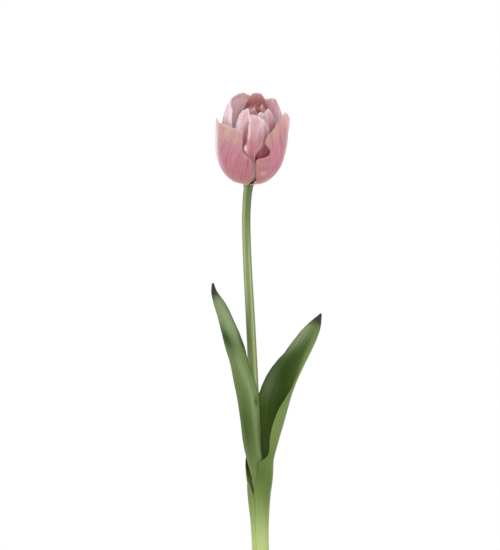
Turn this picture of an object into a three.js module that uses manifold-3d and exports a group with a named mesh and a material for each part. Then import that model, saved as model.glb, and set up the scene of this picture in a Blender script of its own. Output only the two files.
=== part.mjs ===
// A single cut double tulip standing in a plain ceramic bud vase.
// Millimetres, +Z up. The origin is the middle of the vase's flat foot, and the viewer stands on the -Y side.
// The stem leans on the left of the vase's mouth, and the bloom nods a little towards the viewer.

import * as THREE from "three";
import { mergeVertices } from "three/addons/utils/BufferGeometryUtils.js";
import Module from "manifold-3d";

const wasm = await Module();
wasm.setup();

// Driving dimensions

const GAP = 0.3; // clearance between pieces that rest on each other
const VASE_HEIGHT = 150;
const VASE_WALL = 3.6;
const VASE_FLOOR = 6;
const FOOT_RADIUS = 25;
const BELLY_RADIUS = 35;
const MOUTH_RADIUS = 9; // inside of the mouth
const WATER_LEVEL = 92;

const BLOOM_BASE = 412; // height at which the petals spring from the stem
const BLOOM_NOD = 11; // degrees towards the viewer
const BLOOM_LEAN = 3; // degrees to the right
const PETAL_THICKNESS = 0.7;
const LEAF_THICKNESS = 0.8;

const SEAT_RADIUS = 4.1; // the stem's swollen top, which carries the petals
const SEAT_HEIGHT = 7.2;
const OVARY_HEIGHT = 15;
const STAMEN_COUNT = 6;
const STAMEN_HEIGHT = 24;

// The stem's line from its cut end up to the bloom: height, then x, y and radius.
const STEM_STATIONS = [
  [6.4, 4.1, 0, 3.7],
  [80, 0.5, 0, 3.7],
  [156, -3.3, 0, 3.6],
  [210, -6.1, 0, 3.55],
  [268, -8.4, 0, 3.45],
  [316, -10.6, 0, 3.25],
  [355, -12.7, -0.2, 3.05],
  [385, -13.6, -1.6, 3.0],
  [400, -13.1, -3.5, 3.05],
  [412, -12, -5.7, 3.3],
];

// The bloom's cups from outside to inside: position up the petal, then radius and height above the bloom's base.
const OUTER_CUP = [
  [0, 4.5, 0.2],
  [0.12, 12.3, 2.7],
  [0.26, 18.9, 9.4],
  [0.4, 22.8, 18],
  [0.54, 24.5, 27],
  [0.68, 25.1, 36.5],
  [0.84, 25.6, 46.5],
  [1, 26.6, 56.5],
];
const SECOND_CUP = [
  [0, 4.35, 2.2],
  [0.11, 10.8, 6],
  [0.25, 16.2, 13.5],
  [0.4, 19.4, 22.5],
  [0.54, 20.8, 32],
  [0.68, 20.9, 42],
  [0.84, 18.6, 52.5],
  [1, 12.6, 63.5],
];
const THIRD_CUP = [
  [0, 4.2, 4],
  [0.11, 9.2, 9.2],
  [0.26, 13.4, 17.2],
  [0.41, 16, 26.5],
  [0.56, 16.9, 36],
  [0.71, 16.4, 46],
  [0.86, 14, 55.5],
  [1, 10.4, 64.5],
];
const INNER_CUP = [
  [0, 4.1, 5.8],
  [0.13, 7.6, 12.5],
  [0.28, 10, 21],
  [0.44, 11.6, 30],
  [0.61, 12, 39.5],
  [0.8, 10.6, 49.5],
  [1, 7, 59],
];

// The outline of a petal's top: position across the petal, then length as a share of the longest.
const ROUND_TOP = [
  [-1, 0.82],
  [-0.6, 0.96],
  [0, 1],
  [0.6, 0.96],
  [1, 0.82],
];

// Each petal: its cup, the azimuth of its middle in degrees (0 faces the viewer, 90 is right), its length as a share
// of the cup's, the outline of its top, its left and right reach in degrees by position up the petal, and how the
// blade leaves its cup in millimetres: inset towards the middle, flare outwards at the tip, and ruffle of the margins.
const PETALS = [
  {
    name: "petal_outer_left",
    cup: OUTER_CUP,
    azimuth: -55,
    length: 0.835,
    top: [[-1, 0.92], [-0.75, 0.985], [-0.4, 0.985], [-0.1, 0.965], [0.25, 0.955], [0.42, 0.945], [0.5, 0.93], [1, 0.915]],
    left: [[0, 46], [0.3, 60], [0.7, 62], [1, 48]],
    right: [[0, 50], [0.12, 58], [0.3, 61], [0.56, 60], [0.63, 51], [0.7, 43], [0.8, 41], [1, 42]],
    flare: -0.8,
    ruffle: 0.6,
  },
  {
    name: "petal_outer_right",
    cup: OUTER_CUP,
    azimuth: 66,
    length: 0.955,
    top: [[-1, 1], [-0.5, 1], [0, 0.965], [0.5, 0.905], [1, 0.78]],
    left: [
      [0, 52],
      [0.12, 46],
      [0.3, 51],
      [0.47, 53.5],
      [0.505, 36],
      [0.55, 31.5],
      [0.6, 34.5],
      [0.65, 41.5],
      [0.72, 39.5],
      [0.84, 26],
      [1, 11],
    ],
    right: [[0, 46], [0.3, 60], [0.7, 58], [1, 36]],
    flare: 0.7,
    ruffle: 0.5,
  },
  {
    name: "petal_outer_back",
    cup: OUTER_CUP,
    azimuth: 184,
    length: 0.9,
    top: ROUND_TOP,
    left: [[0, 44], [0.3, 66], [0.7, 68], [1, 40]],
    right: [[0, 44], [0.3, 66], [0.7, 66], [1, 40]],
    inset: 2.1,
    ruffle: 0.5,
  },
  {
    name: "petal_second_front",
    cup: SECOND_CUP,
    azimuth: 5,
    length: 0.865,
    top: [[-1, 0.9], [-0.6, 0.955], [-0.1, 0.965], [0.3, 0.94], [0.7, 0.9], [1, 0.84]],
    left: [[0, 24], [0.3, 11], [0.5, 11], [0.55, 17], [0.61, 20.5], [0.66, 16], [0.71, 12], [0.85, 11.5], [1, 11.5]],
    right: [[0, 36], [0.1, 26], [0.3, 15], [0.42, 9], [0.5, 5], [0.6, 8], [0.7, 20], [0.8, 30], [0.9, 33], [1, 30]],
    inset: -0.9,
    flare: -1.6,
    ruffle: 0.3,
  },
  {
    name: "petal_second_left",
    cup: SECOND_CUP,
    azimuth: -118,
    length: 0.985,
    top: [[-1, 0.97], [-0.6, 1], [0, 0.975], [0.5, 0.945], [1, 0.87]],
    left: [[0, 44], [0.3, 56], [0.7, 58], [1, 52]],
    right: [[0, 44], [0.3, 60], [0.5, 71], [0.75, 76], [0.9, 73], [1, 67]],
    inset: 1,
    flare: 0.9,
    ruffle: 0.5,
  },
  {
    name: "petal_second_right",
    cup: SECOND_CUP,
    azimuth: 106,
    length: 0.955,
    top: [[-1, 0.82], [-0.5, 0.97], [0, 1], [0.5, 0.985], [1, 0.93]],
    left: [[0, 44], [0.3, 52], [0.7, 54], [1, 40]],
    right: [[0, 44], [0.3, 60], [0.7, 62], [1, 58]],
    flare: 1.4,
    ruffle: 0.5,
  },
  {
    name: "petal_third_front_left",
    cup: THIRD_CUP,
    azimuth: -24,
    length: 0.85,
    top: [[-1, 0.88], [-0.6, 0.95], [0, 0.99], [0.6, 1], [1, 0.93]],
    left: [[0, 28], [0.3, 28], [0.6, 34], [0.7, 31], [0.8, 24.5], [0.9, 18], [1, 14]],
    right: [[0, 28], [0.3, 26], [0.7, 22], [1, 20]],
    ruffle: 0.4,
  },
  {
    name: "petal_third_front_right",
    cup: THIRD_CUP,
    azimuth: 44,
    length: 0.85,
    top: [[-1, 0.9], [-0.75, 0.965], [-0.4, 0.965], [0, 1], [0.3, 1], [0.6, 0.95], [1, 0.82]],
    left: [[0, 28], [0.3, 26], [0.7, 30], [1, 34]],
    right: [[0, 28], [0.3, 30], [0.7, 32], [1, 26]],
    flare: 0.6,
    ruffle: 0.4,
  },
  {
    name: "petal_third_right",
    cup: THIRD_CUP,
    azimuth: 102,
    length: 0.6,
    top: ROUND_TOP,
    left: [[0, 28], [0.3, 22], [0.7, 24], [1, 18]],
    right: [[0, 28], [0.3, 24], [0.7, 30], [1, 22]],
    inset: 1.5,
    ruffle: 0.4,
  },
  {
    name: "petal_third_back",
    cup: THIRD_CUP,
    azimuth: 166,
    length: 0.975,
    top: ROUND_TOP,
    left: [[0, 28], [0.3, 34], [0.7, 40], [1, 34]],
    right: [[0, 28], [0.3, 38], [0.7, 46], [1, 36]],
    flare: 0.5,
    ruffle: 0.4,
  },
  {
    name: "petal_third_left",
    cup: THIRD_CUP,
    azimuth: -102,
    length: 0.6,
    top: ROUND_TOP,
    left: [[0, 28], [0.3, 34], [0.7, 38], [1, 24]],
    right: [[0, 28], [0.3, 34], [0.7, 38], [1, 24]],
    inset: 1.2,
    ruffle: 0.4,
  },
  {
    name: "petal_inner_front",
    cup: INNER_CUP,
    azimuth: -8,
    length: 0.93,
    top: [[-1, 0.84], [-0.5, 0.98], [0, 0.96], [0.5, 1], [1, 0.86]],
    left: [[0, 34], [0.3, 38], [0.7, 44], [1, 34]],
    right: [[0, 34], [0.3, 36], [0.7, 40], [1, 34]],
    ruffle: 0.4,
  },
  {
    name: "petal_inner_right",
    cup: INNER_CUP,
    azimuth: 72,
    length: 0.95,
    top: ROUND_TOP,
    left: [[0, 34], [0.3, 38], [0.7, 40], [1, 34]],
    right: [[0, 34], [0.3, 36], [0.7, 40], [1, 30]],
    inset: 1.3,
    ruffle: 0.3,
  },
  {
    name: "petal_inner_back",
    cup: INNER_CUP,
    azimuth: 166,
    length: 0.9,
    top: [[-1, 0.84], [-0.6, 0.97], [-0.3, 0.95], [0.1, 1], [0.4, 0.96], [0.7, 0.99], [1, 0.86]],
    left: [[0, 34], [0.3, 40], [0.7, 44], [1, 34]],
    right: [[0, 34], [0.3, 40], [0.7, 44], [1, 34]],
    ruffle: 0.4,
  },
  {
    name: "petal_inner_left",
    cup: INNER_CUP,
    azimuth: -102,
    length: 0.84,
    top: ROUND_TOP,
    left: [[0, 34], [0.3, 38], [0.7, 42], [1, 30]],
    right: [[0, 34], [0.3, 38], [0.7, 42], [1, 30]],
    inset: 1.3,
    ruffle: 0.3,
  },
];

// A leaf's keel and blade by position up the leaf: x, y and z of the keel, the azimuth that its hollow side faces, then
// the left and right bend radius and the left and right reach across the blade. Left and right are as seen when facing
// the hollow side.
const LOWER_LEAF = [
  [0, 3.7, 0.9, 110, -80, 5.55, 4.95, 21.6, 12.6],
  [0.2, 1.9, 0.9, 156, -80, 5.6, 5, 21.6, 12.7],
  [0.28, 1.8, 1, 173, -80, 6, 5.4, 23.2, 13.7],
  [0.37, 2.9, 1.3, 193, -80, 7.7, 7, 29.9, 17.2],
  [0.42, 4.5, 1.5, 206, -80, 9.2, 8.7, 25.6, 16.9],
  [0.464, 4.9, 1.6, 216.6, -80, 10.3, 9.6, 25, 16.2],
  [0.482, 5.4, 1.7, 220.6, -80, 10.3, 9.6, 24.4, 11],
  [0.54, 8.6, 2.4, 232.6, -76, 11, 8.2, 23, 12.6],
  [0.6, 12.5, 4, 246.6, -70, 13, 7.6, 22.8, 13],
  [0.68, 15.8, 5.6, 261, -60, 15, 8.6, 23.6, 12.2],
  [0.76, 19.6, 6.8, 277, -46, 18, 10, 18.6, 10.4],
  [0.85, 26.2, 7.8, 294, -38, 17, 14, 11.4, 8.5],
  [0.94, 35, 8.8, 312, -36, 14, 12, 5.8, 4.6],
  [1, 38.9, 9, 321, -36, 10, 10, 0.7, 0.5],
];
const UPPER_LEAF = [
  [0, -4.6, -4.6, 184, 172, 4.7, 4.7, 3, 1.4],
  [0.08, -5.2, -4.9, 192, 172, 5, 5, 3.4, 1.4],
  [0.13, -6.1, -5.3, 201, 170, 5.4, 5.4, 4.4, 1.8],
  [0.2, -7.4, -6.2, 214, 168, 6.5, 7, 5.8, 5.2],
  [0.28, -9.6, -7.8, 230, 165, 8.5, 9, 5.8, 8],
  [0.38, -11.6, -9.8, 246, 160, 10, 10, 7.2, 8.6],
  [0.5, -13.8, -12, 264, 156, 12, 12, 8.9, 9.5],
  [0.64, -18.9, -14.6, 285, 152, 14, 13, 7.7, 8.4],
  [0.77, -24.2, -16.6, 303, 150, 13, 12, 7.4, 7.6],
  [0.89, -30.6, -18, 322, 148, 9, 9, 5.8, 6],
  [0.965, -36, -18.6, 335.5, 148, 6, 6, 2.6, 2.4],
  [1, -37, -18.8, 342.5, 148, 4, 4, 0.8, 0.6],
];

// Curves and surfaces

// The smooth curve through stations [position, a, b, ...], read at one position: it gives [a, b, ...].
function along(stations, position) {
  const last = stations.length - 1;
  let i = 0;
  while (i < last - 1 && position > stations[i + 1][0]) i += 1;
  const [low, high] = [stations[i], stations[i + 1]];
  const before = stations[Math.max(i - 1, 0)];
  const after = stations[Math.min(i + 2, last)];
  const span = high[0] - low[0];
  const w = (position - low[0]) / span;
  const rise = w * w * (3 - 2 * w);
  return low.slice(1).map((a, k) => {
    const b = high[k + 1];
    const slopeLow = (b - before[k + 1]) / (high[0] - before[0]);
    const slopeHigh = (after[k + 1] - a) / (after[0] - low[0]);
    const lift = w * (1 - w) * span * ((1 - w) * slopeLow - w * slopeHigh);
    return a + (b - a) * rise + lift;
  });
}

// A direction in plan from an azimuth in degrees: 0 faces the viewer and 90 is to the right.
function facing(azimuth) {
  const angle = THREE.MathUtils.degToRad(azimuth);
  return new THREE.Vector3(Math.sin(angle), -Math.cos(angle), 0);
}

function geometryOf(points, faces) {
  const geometry = new THREE.BufferGeometry();
  const positions = points.flatMap((p) => [p.x, p.y, p.z]);
  geometry.setAttribute("position", new THREE.Float32BufferAttribute(positions, 3));
  geometry.setIndex(faces);
  geometry.computeVertexNormals();
  return geometry;
}

// A thin closed solid on both sides of surface(u, v), with u from -1 to 1 across it and v from 0 to 1 up it. Both faces
// are split into triangles alike, so they never cross.
function bladeGeometry(surface, columns, rows, thickness) {
  const step = 1e-3;
  const front = [];
  const back = [];
  for (const v of rows) {
    for (let i = 0; i <= columns; i += 1) {
      const u = -1 + (2 * i) / columns;
      const [u0, u1] = [Math.max(u - step, -1), Math.min(u + step, 1)];
      const [v0, v1] = [Math.max(v - step, 0), Math.min(v + step, 1)];
      const across = surface(u1, v).sub(surface(u0, v));
      const up = surface(u, v1).sub(surface(u, v0));
      const normal = across.cross(up).setLength(thickness / 2);
      front.push(surface(u, v).add(normal));
      back.push(surface(u, v).sub(normal));
    }
  }
  const width = columns + 1;
  const other = front.length;
  const faces = [];
  const addSquare = (a, b, c, d) => faces.push(a, b, c, a, c, d);
  for (let j = 0; j < rows.length - 1; j += 1) {
    for (let i = 0; i < columns; i += 1) {
      const a = j * width + i;
      addSquare(a, a + 1, a + 1 + width, a + width);
      faces.push(other + a, other + a + 1 + width, other + a + 1);
      faces.push(other + a, other + a + width, other + a + 1 + width);
    }
  }
  const rim = [];
  for (let i = 0; i < columns; i += 1) rim.push(i);
  for (let j = 0; j < rows.length - 1; j += 1) rim.push(j * width + columns);
  for (let i = columns; i > 0; i -= 1) rim.push((rows.length - 1) * width + i);
  for (let j = rows.length - 1; j > 0; j -= 1) rim.push(j * width);
  rim.forEach((a, k) => {
    const b = rim[(k + 1) % rim.length];
    addSquare(a, other + a, other + b, b);
  });
  return geometryOf([...front, ...back], faces);
}

// A closed solid through rings of points, all with the same number of points and anticlockwise seen from above, with
// the rings listed from the bottom up.
function ringsGeometry(rings) {
  const sides = rings[0].length;
  const points = rings.flat();
  const faces = [];
  for (let j = 0; j < rings.length - 1; j += 1) {
    for (let i = 0; i < sides; i += 1) {
      const [a, b] = [j * sides + i, j * sides + ((i + 1) % sides)];
      faces.push(a, b, b + sides, a, b + sides, a + sides);
    }
  }
  const middle = (ring) => ring.reduce((sum, p) => sum.add(p), new THREE.Vector3()).divideScalar(sides);
  const bottom = points.push(middle(rings[0])) - 1;
  const top = points.push(middle(rings.at(-1))) - 1;
  const highest = (rings.length - 1) * sides;
  for (let i = 0; i < sides; i += 1) {
    const next = (i + 1) % sides;
    faces.push(bottom, next, i);
    faces.push(top, highest + i, highest + next);
  }
  return geometryOf(points, faces);
}

// A ring of points round a centre, square to an axis.
function ringAt(centre, axis, radius, sides) {
  const right = new THREE.Vector3(1, 0, 0).addScaledVector(axis, -axis.x).normalize();
  const away = new THREE.Vector3().crossVectors(axis, right);
  return Array.from({ length: sides }, (_, i) => {
    const angle = (2 * Math.PI * i) / sides;
    return centre
      .clone()
      .addScaledVector(right, radius * Math.cos(angle))
      .addScaledVector(away, radius * Math.sin(angle));
  });
}

function evenly(count) {
  return Array.from({ length: count + 1 }, (_, i) => i / count);
}

function namedMesh(name, geometry, color, roughness) {
  const mesh = new THREE.Mesh(geometry, new THREE.MeshStandardMaterial({ color, roughness, metalness: 0 }));
  mesh.name = name;
  return mesh;
}

// Solids that need a cut or a join

function toSolid(geometry) {
  const bare = geometry.clone();
  for (const name of ["normal", "uv"]) bare.deleteAttribute(name);
  const merged = mergeVertices(bare, 1e-4);
  return new wasm.Manifold(
    new wasm.Mesh({
      numProp: 3,
      vertProperties: new Float32Array(merged.attributes.position.array),
      triVerts: new Uint32Array(merged.index.array),
    }),
  );
}

function fromSolid(solid) {
  const mesh = solid.getMesh();
  const geometry = new THREE.BufferGeometry();
  geometry.setAttribute("position", new THREE.Float32BufferAttribute(mesh.vertProperties, 3));
  geometry.setIndex(Array.from(mesh.triVerts));
  geometry.computeVertexNormals();
  return geometry;
}

// Stem

function stemPoint(height) {
  const [x, y, radius] = along(STEM_STATIONS, height);
  return { centre: new THREE.Vector3(x, y, height), radius };
}

function stemAxis(height) {
  const step = 0.5;
  return stemPoint(height + step).centre.sub(stemPoint(height - step).centre).normalize();
}

// The stem's rings, with its end cut on a slant and its swollen top in line with the bloom.
function stemRings(sides, extra, bottom, top, count) {
  return evenly(count).map((share) => {
    const height = bottom + (top - bottom) * share;
    const { centre, radius } = stemPoint(height);
    return ringAt(centre, stemAxis(height), radius + extra, sides);
  });
}

function makeStem(bloomFrame) {
  const sides = 12;
  const cutSlope = 0.7;
  const cutHeight = VASE_FLOOR + GAP + STEM_STATIONS[0][3] * cutSlope;
  const rings = stemRings(sides, 0, cutHeight, BLOOM_BASE - 6, 26);
  const cutMiddle = STEM_STATIONS[0][1];
  for (const point of rings[0]) point.z = cutHeight + (point.x - cutMiddle) * cutSlope;
  const seat = [[-3, 3.3], [0, SEAT_RADIUS], [SEAT_HEIGHT, SEAT_RADIUS - 0.8]];
  for (const [height, radius] of seat) {
    const centre = new THREE.Vector3(0, 0, height);
    const ring = ringAt(centre, new THREE.Vector3(0, 0, 1), radius, sides);
    rings.push(ring.map((point) => point.applyMatrix4(bloomFrame.matrix)));
  }
  return namedMesh("stem", ringsGeometry(rings), 0x8a9a5c, 0.55);
}

// Bloom

function petalSurface(petal) {
  const { inset = 0, flare = 0, ruffle = 0 } = petal;
  return (u, v) => {
    const [spread] = along(u < 0 ? petal.left : petal.right, v);
    const [share] = along(petal.top, u);
    const [radius, height] = along(petal.cup, v * petal.length * share);
    const waves = ruffle * u * u * v * Math.sin(9 * v + 5 * u + petal.azimuth);
    const settle = Math.min(1, 3 * v) ** 2;
    const offset = -inset * settle + flare * v ** 4 + waves;
    return facing(petal.azimuth + u * Math.abs(spread))
      .multiplyScalar(radius + offset)
      .setZ(height);
  };
}

// Rows up a blade: one at each of the stations that shape its margins, and evenly spaced ones where these leave room.
function rowsThrough(positions, count) {
  const near = 0.6 / count;
  const fill = evenly(count).filter((v) => positions.every((p) => Math.abs(v - p) > near));
  return [...new Set([...positions, ...fill])].sort((a, b) => a - b);
}

function makePetal(petal) {
  const big = petal.cup === OUTER_CUP || petal.cup === SECOND_CUP;
  const stations = [petal.left, petal.right].map((list) => list.map(([v]) => v));
  const rows = rowsThrough(stations[0].length > stations[1].length ? stations[0] : stations[1], big ? 10 : 8);
  const geometry = bladeGeometry(petalSurface(petal), big ? 10 : 8, rows, PETAL_THICKNESS);
  return namedMesh(petal.name, geometry, petal.cup === INNER_CUP ? 0xb07274 : 0xd9a3a8, 0.6);
}

// The three-sided ovary with its three-lobed stigma.
function makePistil() {
  const sides = 24;
  const profile = [[0, 2.1], [1.5, 2.5], [OVARY_HEIGHT * 0.6, 2.6], [OVARY_HEIGHT - 1, 2], [OVARY_HEIGHT, 2.6]];
  profile.push([OVARY_HEIGHT + 1.2, 3.1], [OVARY_HEIGHT + 2.2, 2.2]);
  const base = SEAT_HEIGHT + GAP;
  const rings = profile.map(([height, radius], row) =>
    Array.from({ length: sides }, (_, i) => {
      const angle = (2 * Math.PI * i) / sides;
      const lobes = 1 + (row < 4 ? 0.08 : 0.2) * Math.cos(3 * angle);
      const reach = radius * lobes;
      return new THREE.Vector3(reach * Math.cos(angle), reach * Math.sin(angle), base + height);
    }),
  );
  return namedMesh("pistil", ringsGeometry(rings), 0xaab56e, 0.5);
}

// The stamens stand round the pistil on a thin ring that joins their feet.
function makeStamens() {
  const [innerRadius, outerRadius, ringHeight] = [2.95, 3.3, 1.2];
  const base = SEAT_HEIGHT + GAP;
  const outline = [
    new THREE.Vector2(innerRadius, base),
    new THREE.Vector2(outerRadius, base),
    new THREE.Vector2(outerRadius, base + ringHeight),
    new THREE.Vector2(innerRadius, base + ringHeight),
    new THREE.Vector2(innerRadius, base),
  ];
  const ring = new THREE.LatheGeometry(outline, 24).rotateX(Math.PI / 2);
  let solid = toSolid(ring);
  if (solid.volume() < 0) throw new Error("the stamens' ring is inside out");
  // Height above the base, distance from the axis, half thickness round the axis.
  const filament = [[0.2, 3.15, 0.5], [5, 4.1, 0.5], [STAMEN_HEIGHT - 10, 5, 0.35]];
  const anther = [[STAMEN_HEIGHT - 9.4, 5.1, 0.9], [STAMEN_HEIGHT - 5, 5.6, 1], [STAMEN_HEIGHT, 5.6, 0.45]];
  for (let k = 0; k < STAMEN_COUNT; k += 1) {
    const direction = facing((360 * (k + 0.5)) / STAMEN_COUNT);
    const rings = [...filament, ...anther].map(([height, out, radius]) => {
      const centre = direction.clone().multiplyScalar(out).setZ(base + height);
      return ringAt(centre, new THREE.Vector3(0, 0, 1), radius, 6);
    });
    solid = solid.add(toSolid(ringsGeometry(rings)));
  }
  return namedMesh("stamens", fromSolid(solid), 0x5c4a3a, 0.8);
}

// Leaves

function leafSurface(stations) {
  const step = 1e-3;
  const keelAt = (v) => new THREE.Vector3(...along(stations, v).slice(0, 3));
  return (u, v) => {
    const [x, y, z, azimuth, bendLeft, bendRight, left, right] = along(stations, v);
    const up = keelAt(Math.min(v + step, 1)).sub(keelAt(Math.max(v - step, 0))).normalize();
    const hollow = facing(azimuth);
    hollow.addScaledVector(up, -hollow.dot(up)).normalize();
    const across = new THREE.Vector3().crossVectors(up, hollow);
    const [bend, reach] = u < 0 ? [bendLeft, left] : [bendRight, right];
    const turn = (u * reach) / bend;
    return new THREE.Vector3(x, y, z)
      .addScaledVector(hollow, bend * (1 - Math.cos(turn)))
      .addScaledVector(across, bend * Math.sin(turn));
  };
}

function makeLeaf(name, stations, rows, color) {
  const geometry = bladeGeometry(leafSurface(stations), 10, rows, LEAF_THICKNESS);
  return namedMesh(name, geometry, color, 0.5);
}

// Vase and water

// The vase's outside from the foot's edge to the lip: height, then radius.
const VASE_OUTSIDE = [
  [0, FOOT_RADIUS - 1],
  [1, FOOT_RADIUS],
  [12, FOOT_RADIUS + 4.6],
  [28, BELLY_RADIUS - 1.4],
  [44, BELLY_RADIUS],
  [60, BELLY_RADIUS - 2],
  [76, BELLY_RADIUS - 8.6],
  [90, BELLY_RADIUS - 16],
  [104, BELLY_RADIUS - 20.6],
  [122, BELLY_RADIUS - 22.6],
  [140, BELLY_RADIUS - 22.6],
  [148, BELLY_RADIUS - 21.6],
];

function vaseRadius(height) {
  return along(VASE_OUTSIDE, height)[0];
}

// The radius of the hollow inside, which never gets narrower than the mouth.
function hollowRadius(height) {
  return Math.max(vaseRadius(height) - VASE_WALL, MOUTH_RADIUS);
}

function latheSolid(outline, segments) {
  const points = outline.map(([radius, height]) => new THREE.Vector2(radius, height));
  return new THREE.LatheGeometry(points, segments).rotateX(Math.PI / 2);
}

function heightsBetween(low, high, count) {
  return evenly(count).map((share) => low + (high - low) * share);
}

function makeVase() {
  const lip = VASE_HEIGHT - 2;
  const outline = [[0, 0]];
  for (const height of [0, 1, ...heightsBetween(6, lip, 12)]) outline.push([vaseRadius(height), height]);
  const lipRadius = (vaseRadius(lip) - MOUTH_RADIUS) / 2;
  for (const turn of [45, 90, 135]) {
    const angle = THREE.MathUtils.degToRad(turn);
    const radius = MOUTH_RADIUS + lipRadius * (1 + Math.cos(angle));
    outline.push([radius, lip + 2 * Math.sin(angle)]);
  }
  for (const height of heightsBetween(lip, VASE_FLOOR + 4, 11)) outline.push([hollowRadius(height), height]);
  outline.push([hollowRadius(VASE_FLOOR) - 4, VASE_FLOOR], [0, VASE_FLOOR]);
  return namedMesh("vase", latheSolid(outline, 32), 0xe9e4da, 0.35);
}

// The water fills the hollow up to its level, with a plain hole where the stem stands in it.
function makeWater() {
  const outline = [[0, VASE_FLOOR + GAP], [hollowRadius(VASE_FLOOR) - 4 - 2 * GAP, VASE_FLOOR + GAP]];
  for (const height of heightsBetween(VASE_FLOOR + 4, WATER_LEVEL, 6)) {
    outline.push([hollowRadius(height) - 3 * GAP, height]);
  }
  outline.push([0, WATER_LEVEL]);
  const body = toSolid(latheSolid(outline, 24));
  const hole = toSolid(ringsGeometry(stemRings(12, GAP + 0.1, 2, WATER_LEVEL + 10, 6)));
  return namedMesh("water", fromSolid(body.subtract(hole)), 0xbfd3d6, 0.05);
}

// Assembly

const bloom = new THREE.Group();
const seatPoint = stemPoint(BLOOM_BASE).centre;
bloom.position.copy(seatPoint);
bloom.rotation.set(THREE.MathUtils.degToRad(BLOOM_NOD), THREE.MathUtils.degToRad(BLOOM_LEAN), 0, "YXZ");
bloom.updateMatrix();
for (const petal of PETALS) bloom.add(makePetal(petal));
bloom.add(makePistil(), makeStamens());

const lowerRows = rowsThrough([0, 0.34, 0.37, 0.395, 0.42, 0.445, 0.464, 0.473, 0.482, 0.505, 1], 20);

const tulip = new THREE.Group();
tulip.add(makeStem(bloom), bloom);
tulip.add(makeLeaf("leaf_lower", LOWER_LEAF, lowerRows, 0x4f6a2c));
tulip.add(makeLeaf("leaf_upper", UPPER_LEAF, evenly(21), 0x6b8450));

const part = new THREE.Group();
part.add(makeVase(), makeWater(), tulip);

export default part;
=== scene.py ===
"""Dresses a cut double tulip in a ceramic bud vase with fine petals, leaves, stem and glaze.

The sizes below are millimetres in the part's own frame: +Z up, the viewer on the -Y side, and the origin in
the middle of the vase's foot. Meshes are made in metres.
"""

import math

import bpy
import numpy as np
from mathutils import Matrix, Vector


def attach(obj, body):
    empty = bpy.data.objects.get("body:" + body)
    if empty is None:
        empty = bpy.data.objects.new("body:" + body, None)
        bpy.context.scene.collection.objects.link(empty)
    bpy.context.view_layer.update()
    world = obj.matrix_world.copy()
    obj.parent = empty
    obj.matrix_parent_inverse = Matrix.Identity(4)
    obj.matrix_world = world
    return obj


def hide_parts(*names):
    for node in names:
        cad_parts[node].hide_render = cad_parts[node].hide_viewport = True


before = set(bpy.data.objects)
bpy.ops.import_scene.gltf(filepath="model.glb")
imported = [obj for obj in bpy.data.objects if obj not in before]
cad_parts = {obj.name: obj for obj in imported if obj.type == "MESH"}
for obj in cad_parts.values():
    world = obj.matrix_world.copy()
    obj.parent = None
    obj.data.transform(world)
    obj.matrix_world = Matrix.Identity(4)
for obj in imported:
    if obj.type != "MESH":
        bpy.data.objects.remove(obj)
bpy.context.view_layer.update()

bl_info = {
    "name": "Tulip in a Bud Vase",
    "version": (1, 0, 0),
    "blender": (4, 5, 0),
    "location": "3D View > Sidebar > Tulip",
    "description": "Builds the fine petals, leaves, stem, vase and studio around the part's solids",
    "category": "Object",
}

MM = 0.001
BODY = "root"
GAP = 0.3

# Shape of the stem and the bloom

BLOOM_BASE = 412
SWELL_START = BLOOM_BASE - 6  # where the stem begins to swell
BLOOM_NOD = 11
BLOOM_LEAN = 3
SEAT_RADIUS = 4.1
SEAT_HEIGHT = 7.2
OVARY_HEIGHT = 15
STAMEN_COUNT = 6
STAMEN_HEIGHT = 24

CUT_SLOPE = 0.7  # of the stem's lower end

# Height, then x, y and radius.
STEM_STATIONS = [
    (6.4, 4.1, 0, 3.7),
    (80, 0.5, 0, 3.7),
    (156, -3.3, 0, 3.6),
    (210, -6.1, 0, 3.55),
    (268, -8.4, 0, 3.45),
    (316, -10.6, 0, 3.25),
    (355, -12.7, -0.2, 3.05),
    (385, -13.6, -1.6, 3.0),
    (400, -13.1, -3.5, 3.05),
    (412, -12, -5.7, 3.3),
]

# Height above the bloom's base, then radius: the swollen top of the stem.
SEAT = [
    (-4.4, 3.16),
    (-3, 3.25),
    (-1.6, 3.5),
    (-0.6, 3.85),
    (0, SEAT_RADIUS),
    (2, SEAT_RADIUS - 0.1),
    (SEAT_HEIGHT - 1, SEAT_RADIUS - 0.6),
    (SEAT_HEIGHT, SEAT_RADIUS - 1),
]

# Height above the seat, then radius: the ovary and the stigma on it.
PISTIL = [
    (0, 2.1),
    (1.5, 2.5),
    (OVARY_HEIGHT * 0.6, 2.6),
    (OVARY_HEIGHT - 1, 2),
    (OVARY_HEIGHT, 2.6),
    (OVARY_HEIGHT + 1.2, 3.1),
    (OVARY_HEIGHT + 2.2, 2.2),
]

# Radius and height of the collar that holds the stamens.
COLLAR = [(2.95, 0), (3.3, 0), (3.3, 1.1), (3.2, 1.25), (3.05, 1.25), (2.95, 1.1)]

# Height, then distance from the bloom's axis and half thickness: a filament and the anther on it.
STAMEN = [
    (0.2, 3.15, 0.5),
    (5, 4.1, 0.5),
    (STAMEN_HEIGHT - 10, 5, 0.35),
    (STAMEN_HEIGHT - 9.4, 5.1, 0.85),
    (STAMEN_HEIGHT - 8.6, 5.2, 1),
    (STAMEN_HEIGHT - 5, 5.6, 1),
    (STAMEN_HEIGHT - 1, 5.6, 0.75),
    (STAMEN_HEIGHT, 5.6, 0.4),
]

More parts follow.
